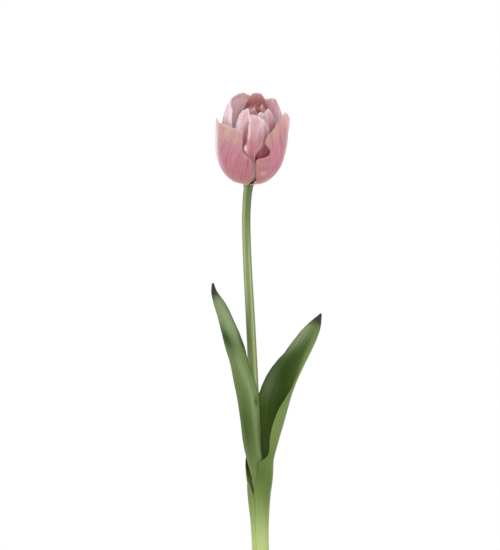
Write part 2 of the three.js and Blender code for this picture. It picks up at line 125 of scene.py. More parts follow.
# Position up the petal, then radius and height above the bloom's base.
OUTER_CUP = [
    (0, 4.5, 0.2),
    (0.12, 12.3, 2.7),
    (0.26, 18.9, 9.4),
    (0.4, 22.8, 18),
    (0.54, 24.5, 27),
    (0.68, 25.1, 36.5),
    (0.84, 25.6, 46.5),
    (1, 26.6, 56.5),
]
SECOND_CUP = [
    (0, 4.35, 2.2),
    (0.11, 10.8, 6),
    (0.25, 16.2, 13.5),
    (0.4, 19.4, 22.5),
    (0.54, 20.8, 32),
    (0.68, 20.9, 42),
    (0.84, 18.6, 52.5),
    (1, 12.6, 63.5),
]
THIRD_CUP = [
    (0, 4.2, 4),
    (0.11, 9.2, 9.2),
    (0.26, 13.4, 17.2),
    (0.41, 16, 26.5),
    (0.56, 16.9, 36),
    (0.71, 16.4, 46),
    (0.86, 14, 55.5),
    (1, 10.4, 64.5),
]
INNER_CUP = [
    (0, 4.1, 5.8),
    (0.13, 7.6, 12.5),
    (0.28, 10, 21),
    (0.44, 11.6, 30),
    (0.61, 12, 39.5),
    (0.8, 10.6, 49.5),
    (1, 7, 59),
]
EDGE_ROLL = -0.5  # how far the petals' sides bend inwards
CREASE_WIDTH = 0.022  # by position up the petal
ROUND_TOP = [(-1, 0.82), (-0.6, 0.96), (0, 1), (0.6, 0.96), (1, 0.82)]



def flank(foot, low, high, tip):
    """The reach of a petal's side, which bends at three and seven tenths of its way up."""
    return [(0, foot), (0.3, low), (0.7, high), (1, tip)]


# A petal's form: azimuth is in degrees from the viewer's side, positive to the right, and length is the share
# of its cup that the petal covers. top is its uneven end by position across it. left and right are its reach
# from the middle, in degrees by position up it. inset draws it in from the cup, flare bends its tip out,
# ruffle waves its sides, ridge raises its middle, pleat deepens its soft folds and ragged tears its end.
# grooves are angle, position, width, length and depth. creases are angle and position at both ends, and
# height. Its colours: pale at the tip and the sides, stain high on the outer face, rose low down, dusk for
# painted shade all over, foot for painted shade at the bottom, lit and glow for painted light on the inner
# face where shade falls inside the cup, claw for green low in the middle, and streak for the fine streaks.
# patches are single marks: tint, angle, position, width, length and strength. Among them, glow and coral
# marks are painted light in shaded clefts and hollows, and dusk marks are painted shade in folds and creases.
PLAIN_PETAL = dict(
    top=ROUND_TOP, inset=0, flare=0, ruffle=0.4, ridge=0, pleat=0.06, ragged=0.006, grooves=(), creases=(),
    pale=0, stain=0, rose=0, dusk=0, foot=0, painted_inner_light=0.5, glow=0, claw=0.3, streak=1, patches=(),
)
OUTER_PETAL = dict(PLAIN_PETAL, cup=OUTER_CUP, ruffle=0.5, rose=0.3)
SECOND_PETAL = dict(PLAIN_PETAL, cup=SECOND_CUP, ruffle=0.5)
THIRD_PETAL = dict(PLAIN_PETAL, cup=THIRD_CUP)
# dusk here is painted shade over the small petals at the heart.
INNER_PETAL = dict(PLAIN_PETAL, cup=INNER_CUP, ragged=0.014, dusk=0.9, painted_inner_light=0.1)
PETALS = {
    "petal_outer_left": dict(
        OUTER_PETAL, azimuth=-55, length=0.835, flare=-0.8, ruffle=0.6, ridge=0.9,
        stain=0.4, streak=1.8, foot=1,
        top=[
            (-1, 0.92), (-0.75, 0.985), (-0.4, 0.985), (-0.1, 0.965),
            (0.25, 0.955), (0.42, 0.945), (0.5, 0.93), (1, 0.915),
        ],
        left=flank(46, 60, 62, 48),
        right=[(0, 50), (0.12, 58), (0.3, 61), (0.56, 60), (0.63, 51), (0.7, 43), (0.8, 41), (1, 42)],
        # glow is painted light on the left side, where the light strikes, the mauve line at -9 is painted
        # shade beside the ridge, and the rose mark low down and the dusk marks are painted shade at the
        # bottom and along the right margin.
        patches=[
            ("glow", -20, 0.66, 11, 0.3, 0.85),
            ("stain", 16, 0.87, 24, 0.09, 1),
            ("mauve", -9, 0.65, 2.5, 0.25, 0.6),
            ("mauve", 22, 0.66, 16, 0.1, 0.6),
            ("mauve", -6, 0.42, 14, 0.14, 0.6),
            ("mauve", 25, 0.4, 20, 0.12, 0.4),
            ("rose", 14, 0.28, 32, 0.14, 0.7),
            ("dusk", 26, 0.2, 22, 0.1, 0.35),
            ("dusk", 52, 0.53, 6, 0.04, 0.4),
        ],
    ),
    "petal_outer_right": dict(
        OUTER_PETAL, azimuth=66, length=0.955, flare=0.7, ridge=0.5,
        stain=0.4, streak=1.6, foot=0.9,
        top=[(-1, 1), (-0.5, 1), (0, 0.965), (0.5, 0.905), (1, 0.78)],
        left=[
            (0, 52), (0.12, 46), (0.3, 51), (0.47, 53.5), (0.505, 36), (0.55, 31.5),
            (0.6, 34.5), (0.65, 41.5), (0.72, 39.5), (0.84, 26), (1, 11),
        ],
        right=flank(46, 60, 58, 36),
        creases=[(-54, 0.415, -28, 0.28, 0.4)],
        # dusk is painted shade along the crease, and the glow marks are painted light on the fold below it
        # and on the right side.
        patches=[
            ("mauve", -20, 0.5, 8, 0.13, 1.3),
            ("stain", -42, 0.43, 12, 0.055, 0.7),
            ("dusk", -44, 0.44, 12, 0.06, 0.75),
            ("glow", -37, 0.3, 7, 0.03, 0.28),
            ("peach", 14, 0.72, 8, 0.25, 0.9),
            ("stain", -28, 0.75, 12, 0.13, 0.7),
            ("peach", 0, 0.94, 18, 0.08, 0.9),
            ("glow", 24, 0.55, 5, 0.35, 0.3),
            ("rose", -38, 0.56, 6, 0.06, 0.6),
            ("mauve", -30, 0.34, 8, 0.04, 0.6),
        ],
    ),
    "petal_outer_back": dict(
        OUTER_PETAL, azimuth=184, length=0.9, inset=2.1, ridge=0.6, stain=0.5, foot=0.45,
        left=flank(44, 66, 68, 40), right=flank(44, 66, 66, 40),
    ),
    "petal_second_front": dict(
        SECOND_PETAL, azimuth=5, length=0.865, inset=-0.9, flare=-1.6, ruffle=0.3, pleat=0.2,
        pale=0.65, rose=0.25, claw=1, streak=0.35,
        top=[(-1, 0.9), (-0.6, 0.955), (-0.1, 0.965), (0.3, 0.94), (0.7, 0.9), (1, 0.84)],
        left=[
            (0, 24), (0.3, 11), (0.5, 11), (0.55, 17), (0.61, 20.5),
            (0.66, 16), (0.71, 12), (0.85, 11.5), (1, 11.5),
        ],
        right=[
            (0, 36), (0.1, 26), (0.3, 15), (0.42, 9), (0.5, 5),
            (0.6, 8), (0.7, 20), (0.8, 30), (0.9, 33), (1, 30),
        ],
        grooves=[(-11, 0.62, 1.6, 0.07, 0.6), (-4, 0.56, 1.3, 0.12, 0.35), (0, 0.5, 1.2, 0.15, 0.3)],
        # The dusk marks are painted shade in the grooves, the glow and coral marks painted light on the lobe,
        # in the cleft beside the claw and on the shaded claw, and the pale mark is a painted highlight on the
        # ridge.
        patches=[
            ("rose", 4, 0.55, 9, 0.1, 0.6),
            ("dusk", -3, 0.5, 1.6, 0.1, 0.55),
            ("dusk", 1.5, 0.46, 1.3, 0.1, 0.45),
            ("coral", 9, 0.5, 5, 0.07, 0.5),
            ("rose", -8, 0.57, 2.5, 0.05, 0.8),
            ("coral", -15, 0.6, 5, 0.06, 0.3),
            ("glow", -15, 0.6, 4.5, 0.055, 0.85),
            ("glow", 4, 0.22, 10, 0.18, 0.9),
            ("pale", -9, 0.85, 3, 0.16, 0.6),
        ],
    ),
    "petal_second_left": dict(
        SECOND_PETAL, azimuth=-118, length=0.985, inset=1, flare=0.9,
        # lit, glow and the glow patch below paint light onto the inner face, which lies in the cup's shade.
        pale=0.8, rose=0.5, painted_inner_light=0.9, glow=1.8,
        top=[(-1, 0.97), (-0.6, 1), (0, 0.975), (0.5, 0.945), (1, 0.87)],
        left=flank(44, 56, 58, 52),
        right=[(0, 44), (0.3, 60), (0.5, 71), (0.75, 76), (0.9, 73), (1, 67)],
        patches=[("stain", -25, 0.98, 16, 0.07, 1), ("glow", 55, 0.8, 20, 0.3, 0.5)],
    ),
    "petal_second_right": dict(
        SECOND_PETAL, azimuth=106, length=0.955, flare=1.4,
        # lit and glow paint light onto the inner face, which lies in the cup's shade.
        pale=0.35, rose=0.4, stain=0.2, painted_inner_light=0.8, glow=0.8,
        top=[(-1, 0.82), (-0.5, 0.97), (0, 1), (0.5, 0.985), (1, 0.93)],
        left=flank(44, 52, 54, 40), right=flank(44, 60, 62, 58),
    ),
    "petal_third_front_left": dict(
        THIRD_PETAL, azimuth=-24, length=0.85, pale=0.9, rose=1, streak=0.3,
        top=[(-1, 0.88), (-0.6, 0.95), (0, 0.99), (0.6, 1), (1, 0.93)],
        left=[(0, 28), (0.3, 28), (0.6, 34), (0.7, 31), (0.8, 24.5), (0.9, 18), (1, 14)],
        right=flank(28, 26, 22, 20),
        # The coral marks are painted light in the shaded cleft low down, and glow is painted light high on
        # the petal.
        patches=[
            ("coral", 5, 0.4, 30, 0.2, 1),
            ("glow", -13, 0.76, 15, 0.17, 1),
            ("coral", 18, 0.66, 6, 0.12, 0.4),
        ],
    ),
    "petal_third_front_right": dict(
        THIRD_PETAL, azimuth=44, length=0.85, flare=0.6, pale=0.7, rose=1, streak=0.3,
        top=[(-1, 0.9), (-0.75, 0.965), (-0.4, 0.965), (0, 1), (0.3, 1), (0.6, 0.95), (1, 0.82)],
        left=flank(28, 26, 30, 34), right=flank(28, 30, 32, 26),
        # coral is painted light in the shaded cleft beside the front petal.
        patches=[("coral", -5, 0.45, 30, 0.25, 1)],
    ),
    "petal_third_right": dict(
        # dusk here is painted shade deep in the cup.
        THIRD_PETAL, azimuth=102, length=0.6, inset=1.5, rose=0.5, dusk=0.3,
        left=flank(28, 22, 24, 18), right=flank(28, 24, 30, 22),
    ),
    "petal_third_back": dict(
        # dusk here is painted shade deep in the cup.
        THIRD_PETAL, azimuth=166, length=0.975, flare=0.5, rose=0.4, dusk=0.6, painted_inner_light=0,
        left=flank(28, 34, 40, 34), right=flank(28, 38, 46, 36),
        patches=[("stain", 0, 0.9, 45, 0.2, 0.45)],
    ),
    "petal_third_left": dict(
        THIRD_PETAL, azimuth=-102, length=0.6, inset=1.2, rose=0.6, pale=0.2,
        left=flank(28, 34, 38, 24), right=flank(28, 34, 38, 24),
    ),
    "petal_inner_front": dict(
        INNER_PETAL, azimuth=-8, length=0.93,
        top=[(-1, 0.84), (-0.5, 0.98), (0, 0.96), (0.5, 1), (1, 0.86)],
        left=flank(34, 38, 44, 34), right=flank(34, 36, 40, 34),
    ),
    "petal_inner_right": dict(
        INNER_PETAL, azimuth=72, length=0.95, inset=1.3, ruffle=0.3,
        left=flank(34, 38, 40, 34), right=flank(34, 36, 40, 30),
    ),
    "petal_inner_back": dict(
        # dusk here is painted shade at the back of the heart.
        INNER_PETAL, azimuth=166, length=0.9, dusk=0.85,
        top=[(-1, 0.84), (-0.6, 0.97), (-0.3, 0.95), (0.1, 1), (0.4, 0.96), (0.7, 0.99), (1, 0.86)],
        left=flank(34, 40, 44, 34), right=flank(34, 40, 44, 34),
    ),
    "petal_inner_left": dict(
        INNER_PETAL, azimuth=-102, length=0.84, inset=1.3, ruffle=0.3,
        left=flank(34, 38, 42, 30), right=flank(34, 38, 42, 30),
    ),
}

# Position up the leaf, then x, y, z of the keel, the azimuth its hollow side faces, left and right bend
# radius, and left and right reach, all seen when facing the hollow side.
LOWER_LEAF = [
    (0, 3.7, 0.9, 110, -80, 5.55, 4.95, 21.6, 12.6),
    (0.2, 1.9, 0.9, 156, -80, 5.6, 5, 21.6, 12.7),
    (0.28, 1.8, 1, 173, -80, 6, 5.4, 23.2, 13.7),
    (0.37, 2.9, 1.3, 193, -80, 7.7, 7, 29.9, 17.2),
    (0.42, 4.5, 1.5, 206, -80, 9.2, 8.7, 25.6, 16.9),
    (0.464, 4.9, 1.6, 216.6, -80, 10.3, 9.6, 25, 16.2),
    (0.482, 5.4, 1.7, 220.6, -80, 10.3, 9.6, 24.4, 11),
    (0.54, 8.6, 2.4, 232.6, -76, 11, 8.2, 23, 12.6),
    (0.6, 12.5, 4, 246.6, -70, 13, 7.6, 22.8, 13),
    (0.68, 15.8, 5.6, 261, -60, 15, 8.6, 23.6, 12.2),
    (0.76, 19.6, 6.8, 277, -46, 18, 10, 18.6, 10.4),
    (0.85, 26.2, 7.8, 294, -38, 17, 14, 11.4, 8.5),
    (0.94, 35, 8.8, 312, -36, 14, 12, 5.8, 4.6),
    (1, 38.9, 9, 321, -36, 10, 10, 0.7, 0.5),
]
UPPER_LEAF = [
    (0, -4.6, -4.6, 184, 172, 4.7, 4.7, 3, 1.4),
    (0.08, -5.2, -4.9, 192, 172, 5, 5, 3.4, 1.4),
    (0.13, -6.1, -5.3, 201, 170, 5.4, 5.4, 4.4, 1.8),
    (0.2, -7.4, -6.2, 214, 168, 6.5, 7, 5.8, 5.2),
    (0.28, -9.6, -7.8, 230, 165, 8.5, 9, 5.8, 8),
    (0.38, -11.6, -9.8, 246, 160, 10, 10, 7.2, 8.6),
    (0.5, -13.8, -12, 264, 156, 12, 12, 8.9, 9.5),
    (0.64, -18.9, -14.6, 285, 152, 14, 13, 7.7, 8.4),
    (0.77, -24.2, -16.6, 303, 150, 13, 12, 7.4, 7.6),
    (0.89, -30.6, -18, 322, 148, 9, 9, 5.8, 6),
    (0.965, -36, -18.6, 335.5, 148, 6, 6, 2.6, 2.4),
    (1, -37, -18.8, 342.5, 148, 4, 4, 0.8, 0.6),
]

# Marks on a leaf's outer face and then on its hollow face: tint, place across and up the leaf, width, length,
# how far it leans across for each leaf length that it climbs, and strength.
# On both leaves, light and strip marks are painted highlights where a face turns to the light, shade marks
# are painted shade, and tip marks at the margins are painted shade along the curled edges.
LOWER_MARKS = (
    (
        ("light", 0.2, 0.62, 0.7, 0.16, 0, 0.4),
        ("shade", 0.9, 0.44, 0.3, 0.05, 0, 0.4),
        ("sheath", -0.1, 0.3, 0.25, 0.2, 0, 0.25),
        ("shade", 0.5, 0.36, 0.25, 0.12, 0, 0.35),
        ("shade", -0.6, 0.33, 0.25, 0.12, 0, 0.3),
    ),
    (
        ("strip", 0.85, 0.66, 0.75, 0.13, 5, 1.0),
        ("strip", 0.97, 0.53, 0.35, 0.08, 0, 0.9),
        ("strip", 0.95, 0.79, 0.4, 0.08, 0, 0.8),
        ("light", -0.84, 0.884, 0.5, 0.06, 2, 1.3),
        ("light", -0.9, 0.72, 0.35, 0.06, 1, 1.0),
        ("light", 0.75, 0.87, 0.5, 0.1, 3, 0.5),
        ("light", 0.1, 0.93, 0.6, 0.05, 0, 0.4),
        ("shade", -0.5, 0.78, 0.5, 0.12, 2, 0.8),
        ("shade", -0.2, 0.5, 0.8, 0.1, 0, 0.55),
        ("shade", -0.2, 0.64, 0.45, 0.1, 3, 0.75),
        ("tip", -1, 0.8, 0.07, 0.17, 0, 0.9),
        ("tip", 1, 0.75, 0.05, 0.25, 0, 0.5),
        # The sheath and strip marks here are painted light in the dark mouth of the sheath.
        ("sheath", 0, 0.392, 2.0, 0.03, 0, 1.2),
        ("strip", -1, 0.37, 0.6, 0.06, 0, 0.8),
    ),
)
UPPER_MARKS = (
    (
        ("light", -0.1, 0.87, 0.9, 0.12, 3, 1.1),
        ("light", 0.55, 0.72, 0.35, 0.16, 0, 0.3),
        ("shade", 0.45, 0.78, 0.6, 0.07, 5, 0.9),
        ("shade", -0.95, 0.74, 0.25, 0.05, 0, 0.9),
        ("light", -0.15, 0.64, 0.3, 0.12, 1, 0.7),
        ("light", -0.5, 0.45, 0.2, 0.18, 0.6, 0.7),
        ("shade", 0.3, 0.36, 0.6, 0.16, 0, 0.5),
        ("shade", -0.74, 0.466, 0.14, 0.02, 0, 0.8),
        ("shade", -0.95, 0.3, 0.2, 0.1, 0, 0.5),
        ("shade", 0, 0.27, 0.9, 0.13, 0, 0.38),
        ("tip", 1, 0.75, 0.07, 0.25, 0, 0.5),
        ("tip", -1, 0.72, 0.08, 0.2, 0, 0.9),
        ("tip", -1, 0.9, 0.15, 0.1, 0, 0.7),
    ),
    (
        ("light", 0, 0.8, 0.8, 0.2, 0, 0.4),
        ("shade", 0, 0.2, 0.8, 0.15, 0, 0.6),
    ),
)

# Shape of the vase

VASE_HEIGHT = 150
VASE_WALL = 3.6
VASE_FLOOR = 6
HOLLOW_ROUNDING = 4  # how high the hollow's foot is rounded
LIP_RISE = 2
FOOT_RADIUS = 25
BELLY_RADIUS = 35
MOUTH_RADIUS = 9
WATER_LEVEL = 92
WATER_SAG = 0.4  # how far the water's surface lies below its edge
WATER_CLEARANCE = 3 * GAP

# Height, then radius.
VASE_OUTSIDE = [
    (0, FOOT_RADIUS - 1),
    (1, FOOT_RADIUS),
    (12, FOOT_RADIUS + 4.6),
    (28, BELLY_RADIUS - 1.4),
    (44, BELLY_RADIUS),
    (60, BELLY_RADIUS - 2),
    (76, BELLY_RADIUS - 8.6),
    (90, BELLY_RADIUS - 16),
    (104, BELLY_RADIUS - 20.6),
    (122, BELLY_RADIUS - 22.6),
    (140, BELLY_RADIUS - 22.6),
    (148, BELLY_RADIUS - 21.6),
]

# How far in from the wall and how high above the floor: the rounded foot of the hollow.
HOLLOW_FOOT = [(1.2, 1.6), (2.6, 0.5), (4, 0), (14, 0)]
WATER_FOOT_INSET = 4.6

# How finely the pieces are divided: sides round them and rows up them, or rows and columns of a blade.
VASE_MESH = (128, 150)
HOLLOW_ROWS = 90
WATER_MESH = (96, 60)
STEM_MESH = (56, 260)
PISTIL_MESH = (72, 70)
COLLAR_SIDES = 72
STAMEN_MESH = (20, 60)
PETAL_MESH = (80, 101)
SMALL_PETAL_MESH = (50, 61)
LOWER_LEAF_MESH = (260, 72)
UPPER_LEAF_MESH = (240, 60)
FLOOR_SIDES = 96

# How far red, green and blue light spreads in pink and in green tissue, as shares of the spread's scale

PINK_SCATTER = (1.0, 0.5, 0.5)
GREEN_SCATTER = (0.5, 1.0, 0.25)

# Studio, in metres

WHITE = (1, 1, 1, 1)
LIGHTS_AIM = (-0.01, 0, 0.33)
CAMERA_X = -0.01099
CAMERA_HEIGHT = 0.34815
SEEN_WIDTH = 0.35  # what the picture spans at the stem
SENSOR_WIDTH = 36  # millimetres

# Curves


def along(stations, positions):
    """The smooth curve through stations (position, a, b, ...), read at an array of positions."""
    table = np.array(stations, float)
    at, values = table[:, 0], table[:, 1:]
    where = np.asarray(positions, float)
    low = np.clip(np.searchsorted(at, where, side="right") - 1, 0, len(at) - 2)
    high = low + 1
    before = np.maximum(low - 1, 0)
    after = np.minimum(low + 2, len(at) - 1)
    span = (at[high] - at[low])[..., None]
    w = (where - at[low])[..., None] / span
    slope_low = (values[high] - values[before]) / (at[high] - at[before])[..., None]
    slope_high = (values[after] - values[low]) / (at[after] - at[low])[..., None]
    rise = w * w * (3 - 2 * w)
    lift = w * (1 - w) * span * ((1 - w) * slope_low - w * slope_high)
    return values[low] + (values[high] - values[low]) * rise + lift


def fade(low, high, x):
    """0 below low, 1 above high and smooth between them; low may be the greater."""
    share = np.clip((x - low) / (high - low), 0, 1)
    return share * share * (3 - 2 * share)


def bump(middle, width, x):
    """1 at the middle, falling smoothly to nothing about two widths away."""
    return np.exp(-(((x - middle) / width) ** 2))


def wobble(x, seed, waves=4):
    """A smooth irregular wave of x between about -1 and 1, the same each time for one seed."""
    draw = np.random.default_rng(seed)
    total = 0
    for k in range(1, waves + 1):
        total = total + np.sin(k * draw.uniform(0.8, 1.3) * x + draw.uniform(0, 6.28)) / k
    return total / 1.7


def unit(vectors):
    return vectors / np.linalg.norm(vectors, axis=-1, keepdims=True)


def facing(azimuth):
    """A direction in plan from an azimuth in degrees: 0 faces the viewer and 90 is to the right."""
    angle = np.radians(azimuth)
    return np.stack([np.sin(angle), -np.cos(angle), np.zeros_like(angle)], -1)


# Meshes


def new_object(name, points, faces, uvs, tints):
    """A smooth mesh object from millimetre points, with a UV map and a value per vertex for each tint."""
    mesh = bpy.data.meshes.new(name)
    mesh.from_pydata((points * MM).tolist(), [], faces)
    mesh.polygons.foreach_set("use_smooth", np.ones(len(mesh.polygons), bool))
    corners = np.empty(len(mesh.loops), int)
    mesh.loops.foreach_get("vertex_index", corners)
    layer = mesh.uv_layers.new(name="Blade")
    layer.data.foreach_set("uv", uvs[corners].ravel())
    for tint, values in tints.items():
        attribute = mesh.attributes.new(tint, "FLOAT", "POINT")
        attribute.data.foreach_set("value", np.clip(values, 0, 1).ravel().astype(np.float32))
    mesh.validate()
    mesh.update()
    made = bpy.data.objects.new(name, mesh)
    bpy.context.scene.collection.objects.link(made)
    return made


def grid_faces(rows, columns, start, flipped):
    """Quads over a grid of vertices that are numbered row by row from start."""
    faces = []
    for j in range(rows - 1):
        for i in range(columns - 1):
            a = start + j * columns + i
            corners = (a, a + 1, a + 1 + columns, a + columns)
            faces.append(corners[::-1] if flipped else corners)
    return faces


def blade_object(name, surface, spread, rows, columns, half, relief, tints):
    """A thin closed solid on both sides of surface(u, v): u is -1 to 1 across it, and v is 0 to 1 up it.

    spread(u, v) places a point across the UV map, half(u, v) is half the thickness, and relief(u, v) raises
    both faces. tints(u, v, side) gives the named tints. side is 1 on the face that the normal leaves from.
    """
    u, v = np.meshgrid(np.linspace(-1, 1, columns), rows)
    middle = surface(u, v)
    normal = unit(np.cross(np.gradient(middle, axis=1), np.gradient(middle, axis=0)))
    half_thickness = half(u, v)[..., None]
    shift = relief(u, v)[..., None]
    front = middle + normal * (shift + half_thickness)
    back = middle + normal * (shift - half_thickness)
    points = np.concatenate([front.reshape(-1, 3), back.reshape(-1, 3)])
    count = len(rows) * columns
    faces = grid_faces(len(rows), columns, 0, False) + grid_faces(len(rows), columns, count, True)
    rim = list(range(columns - 1))
    rim += [j * columns + columns - 1 for j in range(len(rows) - 1)]
    rim += [(len(rows) - 1) * columns + i for i in range(columns - 1, 0, -1)]
    rim += [j * columns for j in range(len(rows) - 1, 0, -1)]
    for k, a in enumerate(rim):
        b = rim[(k + 1) % len(rim)]
        faces.append((a, a + count, b + count, b))
    uv = np.stack([0.5 + spread(u, v) / 2, v], -1).reshape(-1, 2)
    sides = [tints(u, v, side) for side in (1, 0)]
    values = {key: np.concatenate([s[key].ravel() for s in sides]) for key in sides[0]}
    return new_object(name, points, faces, np.concatenate([uv, uv]), values)


def rings_object(name, rings, closed=False, tints=None):
    """A solid through rings of points, anticlockwise from above and listed from the bottom up.

    A closed one joins its last ring to its first, and the others have flat ends.
    """
    rings = np.array(rings)
    count, sides = rings.shape[:2]
    points = rings.reshape(-1, 3)
    around = np.tile(np.arange(sides) / sides, count)
    length = np.repeat(np.arange(count) / (count - 1), sides)
    faces = []
    for j in range(count if closed else count - 1):
        above = (j + 1) % count
        for i in range(sides):
            beside = (i + 1) % sides
            faces.append((j * sides + i, j * sides + beside, above * sides + beside, above * sides + i))
    if not closed:
        faces.append(tuple(range(sides))[::-1])
        faces.append(tuple((count - 1) * sides + i for i in range(sides)))
    values = {key: value.ravel() for key, value in (tints or {}).items()}
    return new_object(name, points, faces, np.stack([around, length], -1), values)


def ring_at(centre, axis, radius, angles, swell=0):
    """A ring of points round a centre, square to an axis."""
    right = unit(np.array([1.0, 0, 0]) - axis * axis[0])
    away = np.cross(axis, right)
    reach = (radius + swell) * np.ones_like(angles)
    across = np.outer(np.cos(angles) * reach, right)
    return centre + across + np.outer(np.sin(angles) * reach, away)


def circle(sides):
    return np.arange(sides) * 2 * math.pi / sides


def level_ring(radius, height, angles):
    reach = radius * np.ones_like(angles)
    heights = height * np.ones_like(angles)
    return np.stack([reach * np.cos(angles), reach * np.sin(angles), heights], -1)


def dress(piece, node, material):
    """Lets a piece stand for a node, ride on the part's body and take a slot's finish."""
    piece.data.materials.append(material)
    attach(piece, BODY)
    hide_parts(node)


# Shader nodes


def add_node(tree, kind, inputs=None, **settings):
    """A shader node with its settings, and its inputs either linked or given a value."""
    made = tree.nodes.new(kind)
    for key, value in settings.items():
        setattr(made, key, value)
    for key, value in (inputs or {}).items():
        socket = made.inputs[key]
        if isinstance(value, bpy.types.NodeSocket):
            tree.links.new(value, socket)
        else:
            socket.default_value = value
    return made


def rgba(colour):
    return (*colour[:3], 1)


def mixed(tree, factor, first, second, blend="MIX"):
    """The colour socket of a mix of two colours."""
    made = add_node(tree, "ShaderNodeMix", {0: factor}, data_type="RGBA", blend_type=blend)
    for index, value in ((6, first), (7, second)):
        if isinstance(value, bpy.types.NodeSocket):
            tree.links.new(value, made.inputs[index])
        else:
            made.inputs[index].default_value = rgba(value)
    return made.outputs[2]


def reckoned(tree, operation, first, second=0.0):
    return add_node(tree, "ShaderNodeMath", {0: first, 1: second}, operation=operation).outputs[0]


def product(tree, first, second):
    return reckoned(tree, "MULTIPLY", first, second)


def ranged(tree, value, low, high, to_low=0.0, to_high=1.0):
    """A value mapped from one range to another and held inside it."""
    inputs = {"Value": value, "From Min": low, "From Max": high, "To Min": to_low, "To Max": to_high}
    return add_node(tree, "ShaderNodeMapRange", inputs, interpolation_type="SMOOTHSTEP").outputs["Result"]


def noise(tree, vector, scale, detail=2.0, roughness=0.5):
    inputs = {"Vector": vector, "Scale": scale, "Detail": detail, "Roughness": roughness}
    return add_node(tree, "ShaderNodeTexNoise", inputs).outputs["Fac"]


def fibre_noise(tree, fibres, across, up, detail=2.0, roughness=0.5):
    """Noise that is finer across the fibres than up them."""
    drawn_out = add_node(tree, "ShaderNodeMapping", {"Vector": fibres, "Scale": (across, up, 1.0)})
    return noise(tree, drawn_out.outputs["Vector"], 1.0, detail, roughness)


def object_place(tree):
    return add_node(tree, "ShaderNodeTexCoord").outputs["Object"]


def blade_place(tree):
    return add_node(tree, "ShaderNodeUVMap", uv_map="Blade").outputs["UV"]


def fibre_coordinates(tree, slant):
    """Blade coordinates whose lines run up the blade and lean out from its middle by slant."""
    other_side = 3.7
    parts = add_node(tree, "ShaderNodeSeparateXYZ", {0: blade_place(tree)})
    across = reckoned(tree, "SUBTRACT", parts.outputs["X"], 0.5)
    reach = reckoned(tree, "ABSOLUTE", across)
    leaning = reckoned(tree, "SUBTRACT", reach, product(tree, parts.outputs["Y"], slant))
    side = reckoned(tree, "GREATER_THAN", across, 0.0)
    shifted = reckoned(tree, "ADD", leaning, product(tree, side, other_side))
    return add_node(tree, "ShaderNodeCombineXYZ", {0: shifted, 1: parts.outputs["Y"]}).outputs["Vector"]


def tint_value(tree, name):
    return add_node(tree, "ShaderNodeAttribute", attribute_name=name).outputs["Fac"]


def tinted(tree, colour, settings, *tints, share=None):
    """A colour under each tint in turn, as strong as the piece says there, or as a share of that."""
    for tint in tints:
        amount = tint_value(tree, tint)
        if share is not None:
            amount = product(tree, amount, share)
        colour = mixed(tree, amount, colour, getattr(settings, tint + "_colour"))
    return colour


def new_material(name, **shader_inputs):
    """A material with one Principled shader, and its tree and shader."""
    material = bpy.data.materials.new(name)
    material.use_nodes = True
    tree = material.node_tree
    shader = tree.nodes["Principled BSDF"]
    for key, value in shader_inputs.items():
        shader.inputs[key.replace("_", " ")].default_value = value
    return material, tree, shader


def coat(tree, shader, colour, height, depth):
    """Gives a shader its colour and raises its surface by the height, in shares of the depth."""
    raised = add_node(tree, "ShaderNodeBump", {"Height": height, "Distance": depth})
    tree.links.new(colour, shader.inputs["Base Color"])
    tree.links.new(raised.outputs["Normal"], shader.inputs["Normal"])


def ribbed_coat(tree, shader, colour, ribs, crest, darkest, share, depth):
    """A coat whose ribs stand out and, up to their crest, grow lighter than the lines between them."""
    lowest, brightest = 0.35, 1.12
    value = ranged(tree, ribs, lowest, crest, darkest, brightest)
    grey = add_node(tree, "ShaderNodeCombineColor", {0: value, 1: value, 2: value}).outputs[0]
    coat(tree, shader, mixed(tree, share, colour, grey, "MULTIPLY"), ribs, depth)


def petal_material(settings):
    """Satin petal: its body colour under the petal's own tints, with streaks that fan out from the middle."""
    material, tree, shader = new_material(
        "satin_petal", Roughness=0.55, Specular_IOR_Level=0.35, Sheen_Weight=0.3, Sheen_Roughness=0.4,
        Subsurface_Weight=0.6, Subsurface_Scale=0.004, Subsurface_Radius=PINK_SCATTER,
    )
    fibres = fibre_coordinates(tree, 0.22)
    colour = tinted(tree, settings.petal_colour, settings, "rose")
    blotches = ranged(tree, noise(tree, object_place(tree), 130.0, 3.0, 0.6), 0.42, 0.66, 0.0, 0.35)
    colour = mixed(tree, blotches, colour, settings.rose_colour)
    # Painted shade: dusk darkens the heart, the petals' feet and their folds.
    colour = tinted(tree, colour, settings, "dusk")
    streaks = ranged(tree, fibre_noise(tree, fibres, 34.0, 2.2, 3.0, 0.6), 0.46, 0.66)
    colour = tinted(tree, colour, settings, "streak", share=streaks)
    patchy = ranged(tree, fibre_noise(tree, fibres, 13.0, 5.0, 4.0, 0.65), 0.3, 0.65, 0.25, 1.0)
    colour = tinted(tree, colour, settings, "pale", "peach", "stain", "mauve", share=patchy)
    # Painted light: coral brightens the shaded clefts and glow the shaded inner faces, lobe and claw; green
    # is the petal's own greenish foot.
    colour = tinted(tree, colour, settings, "coral", "glow", "green")
    veins = fibre_noise(tree, fibres, 150.0, 3.0)
    ribbed_coat(tree, shader, colour, veins, 0.7, 0.84, 0.8, 0.00012)
    return material


